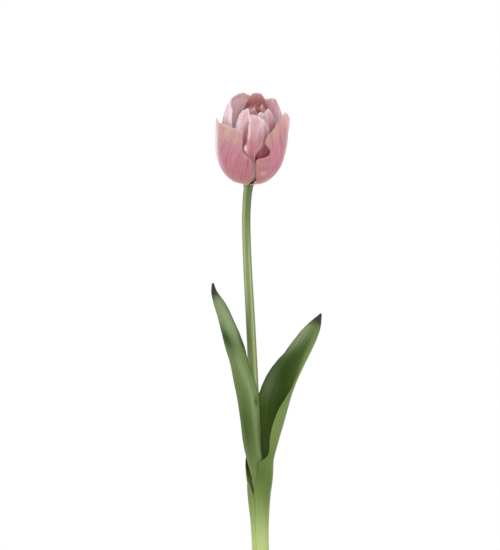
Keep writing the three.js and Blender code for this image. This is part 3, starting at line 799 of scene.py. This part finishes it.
def leaf_material(name, body, hollow, settings, roughness):
    """Satin leaf with fine lengthwise ribs, of one colour outside and another in its hollow."""
    material, tree, shader = new_material(
        name, Roughness=roughness, Specular_IOR_Level=0.12,
        Subsurface_Weight=0.08, Subsurface_Scale=0.0008, Subsurface_Radius=GREEN_SCATTER,
    )
    fibres = fibre_coordinates(tree, 0.0)
    bands = fibre_noise(tree, fibres, 15.0, 2.4, 3.0, 0.55)
    waxy = ranged(tree, bands, 0.45, 0.75, 0.0, 0.45)
    uneven = ranged(tree, bands, 0.3, 0.6, 0.55, 1.0)
    colour = mixed(tree, tint_value(tree, "hollow"), body, hollow)
    colour = tinted(tree, colour, settings, "sheen", share=waxy)
    # Painted light and shade: light paints highlights, strip lightens faces turned to the light, shade paints
    # shade, and tip darkens the tips and paints shade along the curled margins.
    colour = tinted(tree, colour, settings, "light", share=uneven)
    colour = tinted(tree, colour, settings, "strip", "shade", "sheath", "tip")
    ribs = fibre_noise(tree, fibres, 95.0, 1.2)
    ribbed_coat(tree, shader, colour, ribs, 0.68, 0.82, 0.7, 0.00015)
    return material


def stem_material(settings):
    """Smooth waxy stem with faint lengthwise streaks, paler towards its foot."""
    material, tree, shader = new_material(
        "waxy_stem", Roughness=0.42, Specular_IOR_Level=0.45, Sheen_Weight=0.15, Sheen_Roughness=0.35,
        Subsurface_Weight=0.1, Subsurface_Scale=0.001, Subsurface_Radius=GREEN_SCATTER,
    )
    # The light_stem and shade tints carry painted highlights and painted shade, and the stem's paler foot.
    colour = tinted(tree, settings.stem_colour, settings, "light_stem")
    streaks = fibre_noise(tree, blade_place(tree), 26.0, 9.0, 3.0, 0.6)
    faint = ranged(tree, streaks, 0.42, 0.75, 0.0, 0.4)
    colour = mixed(tree, faint, colour, settings.light_stem_colour)
    coat(tree, shader, tinted(tree, colour, settings, "shade"), streaks, 0.00012)
    return material


def heart_material(name, colour, tip_colour, roughness):
    """Plain plant tissue that turns to a second colour at its tip, with a fine grain."""
    material, tree, shader = new_material(name, Roughness=roughness, Specular_IOR_Level=0.3)
    grain = noise(tree, object_place(tree), 1400.0, 3.0, 0.6)
    colour = mixed(tree, tint_value(tree, "tip"), colour, tip_colour)
    colour = mixed(tree, ranged(tree, grain, 0.4, 0.7, 0.0, 0.3), colour, (0.1, 0.08, 0.05))
    coat(tree, shader, colour, grain, 0.00025)
    return material


def glaze_material(settings):
    """Satin off-white glaze, warmer where it is thin, with iron speckles and a bare clay foot."""
    glazed_roughness, bare_roughness = 0.34, 0.85
    material, tree, shader = new_material("satin_glaze", Coat_Weight=0.25, Coat_Roughness=0.22)
    place = object_place(tree)
    clouds = noise(tree, place, 28.0, 3.0, 0.55)
    thin = ranged(tree, clouds, 0.4, 0.7, 0.0, 0.5)
    colour = mixed(tree, thin, settings.glaze_colour, settings.thin_glaze_colour)
    dots = add_node(tree, "ShaderNodeTexVoronoi", {"Vector": place, "Scale": 260.0}).outputs["Distance"]
    few = ranged(tree, noise(tree, place, 90.0, 1.0, 0.5), 0.52, 0.62)
    speckles = product(tree, ranged(tree, dots, 0.22, 0.1), few)
    colour = mixed(tree, product(tree, speckles, 0.75), colour, settings.speckle_colour)
    height = add_node(tree, "ShaderNodeSeparateXYZ", {0: place}).outputs["Z"]
    edge = reckoned(tree, "ADD", height, product(tree, clouds, 0.0015))
    bare = ranged(tree, edge, 0.0034, 0.0026)
    colour = mixed(tree, bare, colour, settings.clay_colour)
    gloss = ranged(tree, bare, 0.0, 1.0, glazed_roughness, bare_roughness)
    tree.links.new(gloss, shader.inputs["Roughness"])
    grain = noise(tree, place, 700.0, 3.0, 0.6)
    coat(tree, shader, colour, reckoned(tree, "ADD", grain, product(tree, clouds, 2.0)), 0.00012)
    return material


def water_material(settings):
    """Clear still water with a faint tint."""
    material, tree, shader = new_material("clear_water", Roughness=0.02, IOR=1.33, Transmission_Weight=1.0)
    ripples = ranged(tree, noise(tree, object_place(tree), 60.0, 2.0, 0.4), 0.3, 0.7)
    colour = mixed(tree, ripples, settings.water_colour, (0.86, 0.93, 0.93))
    tree.links.new(colour, shader.inputs["Base Color"])
    return material


# Petals, leaves, stem and vase


def bloom_frame():
    """The bloom's base point and the rotation that leans it right and nods it towards the viewer."""
    nod, lean = math.radians(BLOOM_NOD), math.radians(BLOOM_LEAN)
    about_x = np.array([[1, 0, 0], [0, math.cos(nod), -math.sin(nod)], [0, math.sin(nod), math.cos(nod)]])
    about_y = np.array([[math.cos(lean), 0, math.sin(lean)], [0, 1, 0], [-math.sin(lean), 0, math.cos(lean)]])
    x, y, _ = along(STEM_STATIONS, BLOOM_BASE)
    return np.array([x, y, BLOOM_BASE]), about_y @ about_x


def in_bloom(points):
    base, turn = bloom_frame()
    return base + points @ turn.T


def petal_reach(petal, u, v):
    """How many degrees from its middle a petal's point stands, to the right or to the left."""
    reach = np.where(u < 0, along(petal["left"], v)[..., 0], along(petal["right"], v)[..., 0])
    return u * np.abs(reach)


def petal_surface(petal, seed):
    """The middle surface of a petal, with its waved sides, its uneven end and the ridge up its middle."""

    def surface(u, v):
        reach = petal_reach(petal, u, v) * (1 + 0.02 * v * wobble(16 * v, seed))
        ragged = petal["ragged"] * wobble(7 * u, seed + 1) * fade(0.5, 1, v)
        share = along(petal["top"], u)[..., 0] * (1 + ragged)
        profile = along(petal["cup"], v * petal["length"] * share)
        waves = petal["ruffle"] * u * u * v * np.sin(9 * v + 5 * u + petal["azimuth"])
        waves = waves + 0.35 * fade(0.2, 0.6, v) * wobble(5 * v + 6 * u, seed + 2)
        ridge = petal["ridge"] * bump(0, 0.28, u) * fade(0.15, 0.5, v)
        roll = EDGE_ROLL * fade(0.72, 1, np.abs(u)) ** 2 * fade(0.3, 0.6, v)
        settle = np.minimum(1, 3 * v) ** 2
        offset = ridge + waves + roll - petal["inset"] * settle + petal["flare"] * v**4
        turned = facing(petal["azimuth"] + reach) * (profile[..., 0] + offset)[..., None]
        turned[..., 2] = profile[..., 1]
        return in_bloom(turned)

    return surface


def petal_spread(petal):
    """Where a petal's point stands across its UV map: by its angle, so that the fibres ignore the sides."""
    widest = 70

    def spread(u, v):
        return petal_reach(petal, u, v) / widest

    return spread


def petal_relief(petal, seed, depth):
    """How far a petal's faces stand out: fine veins, a few soft pleats, slight hollows and any crease."""

    def relief(u, v):
        angle = petal_reach(petal, u, v)
        free = fade(0.05, 0.3, v)
        veins = depth * np.sin(1.9 * angle + 2 * wobble(4 * v, seed)) * free
        pleats = petal["pleat"] * np.sin(0.42 * angle + wobble(3 * v, seed + 3)) * free
        hollows = 0.22 * wobble(9 * v + 0.05 * angle, seed + 4) * wobble(0.11 * angle, seed + 5) * free
        total = veins + pleats + hollows
        for middle, at, wide, high, depth_there in petal["grooves"]:
            total = total - depth_there * bump(middle, wide, angle) * bump(at, high, v)
        for start_angle, start, end_angle, end, height in petal["creases"]:
            share = (angle - start_angle) / (end_angle - start_angle)
            line = start + (end - start) * share
            inside = fade(-0.05, 0.1, share) * fade(1.05, 0.8, share)
            total = total + height * bump(line, CREASE_WIDTH, v) * inside
        return total

    return relief


def petal_tints(petal):
    """How much of each tint a petal shows at a point of its outer face (side 1) or inner face (side 0)."""

    def tints(u, v, side):
        outer, inner = side, 1 - side
        margin = 0.5 * fade(0.75, 1, np.abs(u)) * fade(0.3, 0.6, v)
        angle = petal_reach(petal, u, v)
        claw = petal["claw"] * bump(0, 0.2, v) * bump(0, 0.6, u)
        shown = {
            "pale": petal["pale"] * (fade(0.55, 1, v) + margin) + 0.3 * fade(0.93, 1, v),
            "rose": petal["rose"] * (outer * fade(0.95, 0.45, v) + inner * fade(0.8, 0.4, v)),
            "stain": petal["stain"] * outer * fade(0.5, 0.85, v),
            # Painted shade: dusk all over, lifting near the tip, and foot for more at the bottom.
            "dusk": petal["dusk"] * (1 - 0.5 * fade(0.9, 1, v)) + petal["foot"] * fade(0.6, 0.22, v),
            # Painted light: glow lightens the inner face from a third of the way up to near the tip.
            "glow": petal["glow"] * inner * fade(0.35, 0.7, v) * fade(0.98, 0.86, v),
            "green": 0.8 * bump(0, 0.09, v) + claw,
            "streak": petal["streak"] * (0.3 + 0.7 * outer) * fade(0.05, 0.25, v) * fade(1, 0.55, v),
        }
        # Painted light: lit adds pale to the inner face, which lies in the cup's shade.
        shown["pale"] = shown["pale"] + petal["painted_inner_light"] * inner * fade(0.3, 0.8, v)
        for tint in ("peach", "mauve", "coral"):
            shown[tint] = np.zeros_like(u)
        for tint, where, at, wide, high, strength in petal["patches"]:
            shown[tint] = shown[tint] + strength * bump(where, wide, angle) * bump(at, high, v)
        return shown

    return tints


def thinning(thickness, least):
    """Half thickness that thins to a share of itself at the sides and the tip."""

    def half(u, v):
        margin = np.maximum(np.abs(u), v) ** 9
        return thickness / 2 * (1 - (1 - least) * margin)

    return half


def leaf_surface(stations, seed, waviness):
    """The middle surface of a leaf, curled across its keel, with waved margins and a groove up its middle."""

    def surface(u, v):
        step = 1e-3
        read = along(stations, v)
        ahead = along(stations, np.minimum(v + step, 1))[..., :3]
        behind = along(stations, np.maximum(v - step, 0))[..., :3]
        up = unit(ahead - behind)
        hollow = facing(read[..., 3])
        hollow = unit(hollow - up * np.sum(hollow * up, -1, keepdims=True))
        across = np.cross(up, hollow)
        bend = np.where(u < 0, read[..., 4], read[..., 5])
        reach = np.where(u < 0, read[..., 6], read[..., 7])
        free = fade(0.5, 0.65, v)
        reach = reach * (1 + 0.02 * free * wobble(40 * v + 2 * np.sign(u), seed))
        turn = u * reach / bend
        wave = waviness * free * fade(1, 0.9, v) * np.abs(u) ** 3 * np.sin(26 * v + 1.3 * u + seed)
        groove = -0.25 * bump(0, 0.09, u) * fade(0.3, 0.5, v)
        # The outer margin of a closed sheath is pressed onto the inner one.
        press = 0.55 * fade(0.8, 0.97, -u) * fade(0.42, 0.38, v) * fade(3, 3.5, reach / bend)
        inward = bend - (bend - press) * np.cos(turn) + wave + groove
        sideways = (bend - press) * np.sin(turn)
        return read[..., :3] + hollow * inward[..., None] + across * sideways[..., None]

    return surface


def leaf_tints(marks, sheath):
    """How much of each tint a leaf shows: the marks on each face, the pale sheath and the dark tip."""

    def tints(u, v, side):
        nowhere = np.zeros_like(u)
        shown = {
            "hollow": nowhere + side,
            "sheen": nowhere + 1 - 0.8 * side,
            "light": nowhere,
            "strip": nowhere,
            "shade": nowhere,
            "sheath": sheath * fade(0.42, 0.14, v),
            "tip": 1.3 * fade(0.93, 0.98, v),
        }
        for tint, where, at, wide, high, lean, strength in marks[side]:
            middle = where + lean * (v - at)
            shown[tint] = shown[tint] + strength * bump(middle, wide, u) * bump(at, high, v)
        return shown

    return tints


def stem_rings(angles, bottom, top, count, extra=0.0, ribbed=0.0):
    """Rings of points along the stem between two heights."""
    rings = []
    for height in np.linspace(bottom, top, count):
        x, y, radius = along(STEM_STATIONS, height)
        ahead, behind = along(STEM_STATIONS, height + 0.5), along(STEM_STATIONS, height - 0.5)
        axis = unit(np.array([ahead[0] - behind[0], ahead[1] - behind[1], 1.0]))
        swell = ribbed * (0.5 * np.sin(7 * angles + 0.012 * height) + 0.5 * wobble(3 * angles, 5))
        rings.append(ring_at(np.array([x, y, height]), axis, radius + extra, angles, swell))
    return rings


def stem_tints(turns, heights):
    """How light and how shaded the stem is, by the turn round it and the height."""
    # Painted highlights down the stem's left and right sides, and painted shade in its middle, at its edge,
    # under the bloom and in the leaf's shadow; the lower stem is paler.
    left_highlight = bump(4.05, 0.26, turns) * fade(318, 340, heights)
    right_highlight = bump(5.25, 0.24, turns) * fade(385, 350, heights)
    middle_shade = bump(4.65, 0.25, turns)
    edge_shade = bump(5.95, 0.4, turns)
    top_shade = fade(4.3, 5.0, turns) * fade(372, 395, heights)
    leaf_shadow = bump(3.9, 0.45, turns) * fade(325, 308, heights) * fade(284, 300, heights)
    bloom_shadow = fade(402, 412, heights)
    light = 0.45 * fade(320, 215, heights) + 0.7 * left_highlight + 0.65 * right_highlight
    shade = 0.22 * middle_shade + 0.35 * edge_shade + 0.3 * top_shade
    shade = shade + 0.65 * leaf_shadow + 0.2 * bloom_shadow
    return {"light_stem": light, "shade": shade}


def vase_radius(height):
    return along(VASE_OUTSIDE, height)[..., 0]


def hollow_radius(height):
    return np.maximum(vase_radius(height) - VASE_WALL, MOUTH_RADIUS)


# Settings


def colour_setting(what, default):
    about = "Colour of " + what
    return bpy.props.FloatVectorProperty(
        name=what.capitalize(), description=about, subtype="COLOR", size=3, min=0, max=1, default=default
    )


def length_setting(name, description, default, high, low=0):
    return bpy.props.FloatProperty(
        name=name, description=description, unit="LENGTH", min=low, max=high, precision=5, default=default
    )


def power_setting(name, description, default):
    return bpy.props.FloatProperty(
        name=name, description=description, unit="POWER", min=0, max=500, default=default
    )


class TulipVaseSettings(bpy.types.PropertyGroup):
    ring_depth: length_setting("Ring depth", "How far the throwing rings stand out", 0.00012, 0.001)
    glaze_colour: colour_setting("the thick glaze", (0.56, 0.53, 0.46))
    thin_glaze_colour: colour_setting("the thin glaze", (0.44, 0.40, 0.33))
    speckle_colour: colour_setting("the iron speckles", (0.22, 0.15, 0.09))
    clay_colour: colour_setting("the bare clay foot", (0.45, 0.33, 0.23))
    water_colour: colour_setting("the water", (0.82, 0.91, 0.90))


class TulipBloomSettings(bpy.types.PropertyGroup):
    thickness: length_setting("Petal thickness", "Thickness of a petal at its middle", 0.0007, 0.002)
    vein_depth: length_setting("Vein depth", "How far the petals' veins stand out", 0.00004, 0.0005)
    petal_colour: colour_setting("the petals", (0.415, 0.198, 0.214))
    rose_colour: colour_setting("the petals' lower parts", (0.52, 0.16, 0.205))
    # Painted shade: the dusk tint darkens the heart, the petals' feet and their folds.
    dusk_colour: colour_setting("the dusky petals at the heart", (0.40, 0.15, 0.14))
    streak_colour: colour_setting("the fine streaks", (0.34, 0.09, 0.16))
    # The pale tint is the petals' own pale tips and sides, painted light where lit adds it to the inner
    # faces, and a painted highlight on the front petal's ridge.
    pale_colour: colour_setting("the pale tips and sides", (0.76, 0.57, 0.60))
    peach_colour: colour_setting("the warm light outline", (0.78, 0.46, 0.43))
    stain_colour: colour_setting("the beige stain high on the petals", (0.45, 0.30, 0.25))
    mauve_colour: colour_setting("the purplish parts", (0.50, 0.165, 0.275))
    # Painted light: the coral tint brightens the clefts between the petals, where shade falls.
    coral_colour: colour_setting("the bright clefts", (0.95, 0.31, 0.37))
    # Painted light: the glow tint lightens inner faces, the lobe, the claw and other parts that lie in shade.
    glow_colour: colour_setting("parts that light comes through", (0.95, 0.68, 0.72))
    green_colour: colour_setting("the petals' greenish foot", (0.52, 0.46, 0.30))
    ovary_colour: colour_setting("the ovary", (0.36, 0.44, 0.16))
    anther_colour: colour_setting("the anthers", (0.10, 0.06, 0.05))


class TulipFoliageSettings(bpy.types.PropertyGroup):
    thickness: length_setting("Leaf thickness", "Thickness of a leaf at its middle", 0.0008, 0.002)
    lower_colour: colour_setting("the clasping leaf", (0.125, 0.19, 0.035))
    lower_hollow_colour: colour_setting("the clasping leaf's hollow side", (0.055, 0.095, 0.008))
    upper_colour: colour_setting("the narrow leaf", (0.115, 0.175, 0.05))
    sheen_colour: colour_setting("the grey-green waxy bands", (0.18, 0.25, 0.11))
    # Painted highlights: the leaves' light marks lie where their faces turn to the light.
    light_colour: colour_setting("the leaves' lighter parts", (0.22, 0.29, 0.14))
    # Painted light: the strip tint lightens the folded side that turns to the light, and the dark mouth of
    # the sheath.
    strip_colour: colour_setting("the side that folds forward", (0.34, 0.44, 0.14))
    shade_colour: colour_setting("the darkest green", (0.022, 0.045, 0.003))
    sheath_colour: colour_setting("the pale sheath", (0.45, 0.54, 0.21))
    # Darkens the leaves' tips, and paints shade along their curled margins.
    tip_colour: colour_setting("the dark tips and edges", (0.035, 0.045, 0.028))
    stem_colour: colour_setting("the stem", (0.15, 0.205, 0.06))
    # Paler towards the stem's foot, and painted highlights down its left and right sides.
    light_stem_colour: colour_setting("the stem's lighter parts", (0.36, 0.415, 0.18))


class TulipStageSettings(bpy.types.PropertyGroup):
    floor_colour: colour_setting("the floor", (0.86, 0.86, 0.86))
    floor_radius: length_setting("Floor radius", "Radius of the studio floor", 3.0, 3.1, 0.3)
    left_power: power_setting("Left light", "Power of the soft light on the left", 10)
    right_power: power_setting("Right light", "Power of the soft light on the right", 7)
    high_power: power_setting("High light", "Power of the soft light high in front", 32)
    surround: bpy.props.FloatProperty(
        name="Surround", description="Strength of the light from all round", min=0, max=3, default=0.8
    )
    camera_distance: length_setting("Camera distance", "From the camera to the stem", 4.0, 20, 0.5)


# Operators


class TULIP_OT_vase(bpy.types.Operator):
    """Throw the bud vase, with its rings, rounded lip and bare foot"""

    bl_idname = "tulip.vase"
    bl_label = "Vase"

    def execute(self, context):
        settings = context.scene.tulip_vase
        sides, rows = VASE_MESH
        angles = circle(sides)
        lip = VASE_HEIGHT - LIP_RISE
        depth = settings.ring_depth / MM
        rings = [level_ring(vase_radius(0) - inward, 0, angles) for inward in (8, 1)]
        for height in np.concatenate([[0, 0.4, 1, 1.8], np.linspace(3, lip, rows)]):
            wave = depth * np.sin(0.95 * height + 0.8 * wobble(0.1 * height, 3)) * fade(2, 12, height)
            uneven = 0.05 * wobble(angles * 2, 7) * fade(2, 30, height)
            rings.append(level_ring(vase_radius(height) + wave + uneven, height, angles))
        half_lip = (vase_radius(lip) - MOUTH_RADIUS) / 2
        for turn in np.linspace(0, math.pi, 15)[1:-1]:
            radius = MOUTH_RADIUS + half_lip * (1 + math.cos(turn))
            rings.append(level_ring(radius, lip + LIP_RISE * math.sin(turn), angles))
        for height in np.linspace(lip, VASE_FLOOR + HOLLOW_ROUNDING, HOLLOW_ROWS):
            rings.append(level_ring(hollow_radius(height), height, angles))
        for inward, rise in HOLLOW_FOOT:
            rings.append(level_ring(hollow_radius(VASE_FLOOR) - inward, VASE_FLOOR + rise, angles))
        piece = rings_object("Vase", rings)
        dress(piece, "vase", glaze_material(settings))
        return {"FINISHED"}


class TULIP_OT_water(bpy.types.Operator):
    """Fill the vase with water, with a hole where the stem stands"""

    bl_idname = "tulip.water"
    bl_label = "Water"

    def execute(self, context):
        sides, rows = WATER_MESH
        angles = circle(sides)
        rings = [level_ring(hollow_radius(VASE_FLOOR) - WATER_FOOT_INSET, VASE_FLOOR + GAP, angles)]
        for height in np.linspace(VASE_FLOOR + HOLLOW_ROUNDING, WATER_LEVEL, rows):
            rings.append(level_ring(hollow_radius(height) - WATER_CLEARANCE, height, angles))
        edge = hollow_radius(WATER_LEVEL) - WATER_CLEARANCE
        for inward, sink in ((0.6, 0.25), (1.4, WATER_SAG)):
            rings.append(level_ring(edge - inward, WATER_LEVEL - sink, angles))
        surface = WATER_LEVEL - WATER_SAG
        inner = stem_rings(angles, VASE_FLOOR + GAP, surface, rows // 2, extra=GAP + 0.1)
        rings += inner[::-1]
        piece = rings_object("Water", rings, closed=True)
        dress(piece, "water", water_material(context.scene.tulip_vase))
        return {"FINISHED"}


class TULIP_OT_stem(bpy.types.Operator):
    """Draw the stem from its slanted cut up to the seat of the petals"""

    bl_idname = "tulip.stem"
    bl_label = "Stem"

    def execute(self, context):
        sides, rows = STEM_MESH
        angles = circle(sides)
        cut = VASE_FLOOR + GAP + STEM_STATIONS[0][3] * CUT_SLOPE
        rings = stem_rings(angles, cut, SWELL_START, rows, ribbed=0.05)
        rings[0][:, 2] = cut + (rings[0][:, 0] - STEM_STATIONS[0][1]) * CUT_SLOPE
        for step in (1, 2, 3):
            rings[step][:, 2] = np.maximum(rings[step][:, 2], rings[step - 1][:, 2] + 0.2)
        rings += [in_bloom(level_ring(radius, height, angles)) for height, radius in SEAT]
        tints = stem_tints(np.tile(angles, (len(rings), 1)), np.array(rings)[..., 2])
        finish = stem_material(context.scene.tulip_foliage)
        dress(rings_object("Stem", rings, tints=tints), "stem", finish)
        return {"FINISHED"}


class TULIP_OT_leaves(bpy.types.Operator):
    """Curl the clasping leaf round the stem and set the narrow leaf inside its sheath"""

    bl_idname = "tulip.leaves"
    bl_label = "Leaves"

    def execute(self, context):
        settings = context.scene.tulip_foliage
        lower = leaf_surface(LOWER_LEAF, 4, 0.7)
        count, columns = LOWER_LEAF_MESH
        rows = np.unique(np.concatenate([np.linspace(0, 1, count), np.linspace(0.44, 0.51, 40)]))
        outside, hollow = settings.lower_colour, settings.lower_hollow_colour
        finish = leaf_material("clasping_leaf", outside, hollow, settings, 0.42)
        self.make_leaf("leaf_lower", lower, rows, columns, leaf_tints(LOWER_MARKS, 1.0), settings, finish)
        upper = leaf_surface(UPPER_LEAF, 9, 0.6)
        count, columns = UPPER_LEAF_MESH
        rows = np.linspace(0, 1, count)
        outside = settings.upper_colour
        finish = leaf_material("narrow_leaf", outside, outside, settings, 0.5)
        self.make_leaf("leaf_upper", upper, rows, columns, leaf_tints(UPPER_MARKS, 0.15), settings, finish)
        return {"FINISHED"}

    def make_leaf(self, node, surface, rows, columns, tints, settings, finish):
        half = thinning(settings.thickness / MM, 0.4)

        def ribs(u, v):
            return 0.03 * np.sin(64 * u) + 0.12 * wobble(9 * u + 7 * v, 21)

        def spread(u, v):
            return u

        piece = blade_object(node.capitalize(), surface, spread, rows, columns, half, ribs, tints)
        dress(piece, node, finish)


class TULIP_OT_petals(bpy.types.Operator):
    """Shape every petal of the bloom, from the three outer ones to the small ones at its heart"""

    bl_idname = "tulip.petals"
    bl_label = "Petals"

    def execute(self, context):
        settings = context.scene.tulip_bloom
        satin = petal_material(settings)
        half = thinning(settings.thickness / MM, 0.25)
        for seed, (node, petal) in enumerate(PETALS.items(), start=30):
            small = petal["cup"] is INNER_CUP
            count, columns = SMALL_PETAL_MESH if small else PETAL_MESH
            bends = [v for side in ("left", "right") for v, _ in petal[side]]
            rows = np.unique(np.concatenate([np.linspace(0, 1, count), bends]))
            surface, spread = petal_surface(petal, seed), petal_spread(petal)
            relief, tints = petal_relief(petal, seed, settings.vein_depth / MM), petal_tints(petal)
            piece = blade_object(node.capitalize(), surface, spread, rows, columns, half, relief, tints)
            dress(piece, node, satin)
        return {"FINISHED"}


class TULIP_OT_heart(bpy.types.Operator):
    """Set the ovary with its three-lobed stigma and the ring of stamens on the seat"""

    bl_idname = "tulip.heart"
    bl_label = "Pistil and stamens"

    def execute(self, context):
        settings = context.scene.tulip_bloom
        self.make_pistil(settings)
        self.make_stamens(settings)
        return {"FINISHED"}

    def make_pistil(self, settings):
        sides, rows = PISTIL_MESH
        angles = circle(sides)
        top = OVARY_HEIGHT
        rings, tips = [], []
        for height in np.linspace(0, PISTIL[-1][0], rows):
            lobes = 0.08 + 0.14 * fade(top - 2, top, height)
            radius = along(PISTIL, height)[0] * (1 + lobes * np.cos(3 * angles))
            rings.append(in_bloom(level_ring(radius, SEAT_HEIGHT + GAP + height, angles)))
            tips.append(np.full(len(angles), fade(top - 1, top + 0.6, height)))
        piece = rings_object("Pistil", rings, tints={"tip": np.array(tips)})
        finish = heart_material("ovary_green", settings.ovary_colour, (0.62, 0.58, 0.24), 0.5)
        dress(piece, "pistil", finish)

    def make_stamens(self, settings):
        base = SEAT_HEIGHT + GAP
        angles = circle(COLLAR_SIDES)
        rings = [in_bloom(level_ring(radius, base + height, angles)) for radius, height in COLLAR]
        tips = np.zeros((len(rings), len(angles)))
        pieces = [rings_object("Stamens", rings, closed=True, tints={"tip": tips})]
        sides, rows = STAMEN_MESH
        section = circle(sides)
        for k in range(STAMEN_COUNT):
            direction = facing(360 * (k + 0.5) / STAMEN_COUNT)
            rings, tips = [], []
            for height in np.linspace(STAMEN[0][0], STAMEN_HEIGHT, rows):
                out, radius = along(STAMEN, height)
                anther = fade(STAMEN_HEIGHT - 10, STAMEN_HEIGHT - 9.2, height)
                reach = radius * (1 - 0.16 * anther * np.cos(2 * section) ** 2)
                centre = direction * out + np.array([0, 0, base + height])
                rings.append(in_bloom(centre + level_ring(reach, 0, section)))
                tips.append(np.full(len(section), anther))
            pieces.append(rings_object("Stamen", rings, tints={"tip": np.array(tips)}))
        with bpy.context.temp_override(active_object=pieces[0], selected_editable_objects=pieces):
            bpy.ops.object.join()
        finish = heart_material("anther_brown", (0.55, 0.42, 0.22), settings.anther_colour, 0.75)
        dress(pieces[0], "stamens", finish)


class TULIP_OT_stage(bpy.types.Operator):
    """Set the pale floor, the soft lights and the camera"""

    bl_idname = "tulip.stage"
    bl_label = "Studio"

    def execute(self, context):
        settings = context.scene.tulip_stage
        self.lay_floor(settings)
        self.hang_lights(context.scene, settings)
        self.place_camera(context.scene, settings)
        return {"FINISHED"}

    def lay_floor(self, settings):
        angles = circle(FLOOR_SIDES)
        radii = [settings.floor_radius * share / MM for share in (0.05, 0.2, 0.5, 1)]
        points = np.concatenate([level_ring(radius, 0, angles) for radius in radii])
        faces = [tuple(range(FLOOR_SIDES))]
        for j in range(len(radii) - 1):
            for i in range(FLOOR_SIDES):
                a, b = j * FLOOR_SIDES + i, j * FLOOR_SIDES + (i + 1) % FLOOR_SIDES
                faces.append((a, a + FLOOR_SIDES, b + FLOOR_SIDES, b))
        floor = new_object("Floor", points, faces, points[:, :2] * MM, {})
        material, tree, shader = new_material("studio_floor", Roughness=0.8, Specular_IOR_Level=0.2)
        place = object_place(tree)
        grain = ranged(tree, noise(tree, place, 40.0), 0.3, 0.7, 0.0, 0.15)
        colour = mixed(tree, grain, settings.floor_colour, (0.9, 0.9, 0.9))
        tree.links.new(colour, shader.inputs["Base Color"])
        # Painted light: the floor's emission grows outwards, so that its rim melts into the white surround.
        distance = add_node(tree, "ShaderNodeVectorMath", {0: place}, operation="LENGTH").outputs["Value"]
        shader.inputs["Emission Color"].default_value = WHITE
        tree.links.new(ranged(tree, distance, 0.5, 2.0, 0.0, 0.28), shader.inputs["Emission Strength"])
        floor.data.materials.append(material)

    def hang_lights(self, scene, settings):
        world = bpy.data.worlds.new("white_surround")
        world.use_nodes = True
        tree = world.node_tree
        lighting = tree.nodes["Background"]
        lighting.inputs["Strength"].default_value = settings.surround
        lighting.inputs["Color"].default_value = WHITE
        seen = add_node(tree, "ShaderNodeBackground", {"Color": WHITE, "Strength": 1.0})
        path = add_node(tree, "ShaderNodeLightPath").outputs["Is Camera Ray"]
        both = add_node(tree, "ShaderNodeMixShader", {0: path, 1: lighting.outputs[0], 2: seen.outputs[0]})
        tree.links.new(both.outputs[0], tree.nodes["World Output"].inputs["Surface"])
        scene.world = world
        for name, place, power, size in (
            ("Left light", (-1.9, -1.2, 1.2), settings.left_power, 1.0),
            ("Right light", (1.9, -1.2, 0.8), settings.right_power, 1.0),
            ("High light", (0.1, -1.3, 2.3), settings.high_power, 1.2),
        ):
            light = bpy.data.lights.new(name, "AREA")
            light.energy = power
            light.size = size
            lamp = bpy.data.objects.new(name, light)
            scene.collection.objects.link(lamp)
            lamp.location = place
            lamp.visible_camera = False
            aim = np.array(LIGHTS_AIM) - np.array(place)
            lamp.rotation_euler = Vector(aim).to_track_quat("-Z", "Y").to_euler()

    def place_camera(self, scene, settings):
        camera = bpy.data.cameras.new("Camera")
        camera.sensor_fit = "HORIZONTAL"
        camera.sensor_width = SENSOR_WIDTH
        camera.lens = SENSOR_WIDTH * settings.camera_distance / SEEN_WIDTH
        placed = bpy.data.objects.new("Camera", camera)
        scene.collection.objects.link(placed)
        placed.location = (CAMERA_X, -settings.camera_distance, CAMERA_HEIGHT)
        placed.rotation_euler = (math.pi / 2, 0, 0)
        scene.camera = placed
        scene.view_settings.view_transform = "Standard"


class TULIP_PT_panel(bpy.types.Panel):
    """Lists the pieces of the tulip in its vase and their settings"""

    bl_idname = "TULIP_PT_panel"
    bl_label = "Tulip in a vase"
    bl_space_type = "VIEW_3D"
    bl_region_type = "UI"
    bl_category = "Tulip"

    def draw(self, context):
        for operator in OPERATORS:
            self.layout.operator(operator.bl_idname)
        for key in SETTINGS:
            box = self.layout.box()
            group = getattr(context.scene, key)
            for name in group.bl_rna.properties.keys():
                if name not in ("rna_type", "name"):
                    box.prop(group, name)


SETTINGS = {
    "tulip_vase": TulipVaseSettings,
    "tulip_bloom": TulipBloomSettings,
    "tulip_foliage": TulipFoliageSettings,
    "tulip_stage": TulipStageSettings,
}
OPERATORS = (
    TULIP_OT_vase,
    TULIP_OT_water,
    TULIP_OT_stem,
    TULIP_OT_leaves,
    TULIP_OT_petals,
    TULIP_OT_heart,
    TULIP_OT_stage,
)


def register():
    for made in (*SETTINGS.values(), *OPERATORS, TULIP_PT_panel):
        bpy.utils.register_class(made)
    for key, group in SETTINGS.items():
        setattr(bpy.types.Scene, key, bpy.props.PointerProperty(type=group))


def unregister():
    for key in SETTINGS:
        delattr(bpy.types.Scene, key)
    for made in (TULIP_PT_panel, *reversed(OPERATORS), *reversed(SETTINGS.values())):
        bpy.utils.unregister_class(made)


def main():
    register()
    bpy.ops.tulip.vase()
    bpy.ops.tulip.water()
    bpy.ops.tulip.stem()
    bpy.ops.tulip.leaves()
    bpy.ops.tulip.petals()
    bpy.ops.tulip.heart()
    bpy.ops.tulip.stage()


if __name__ == "__main__":
    main()
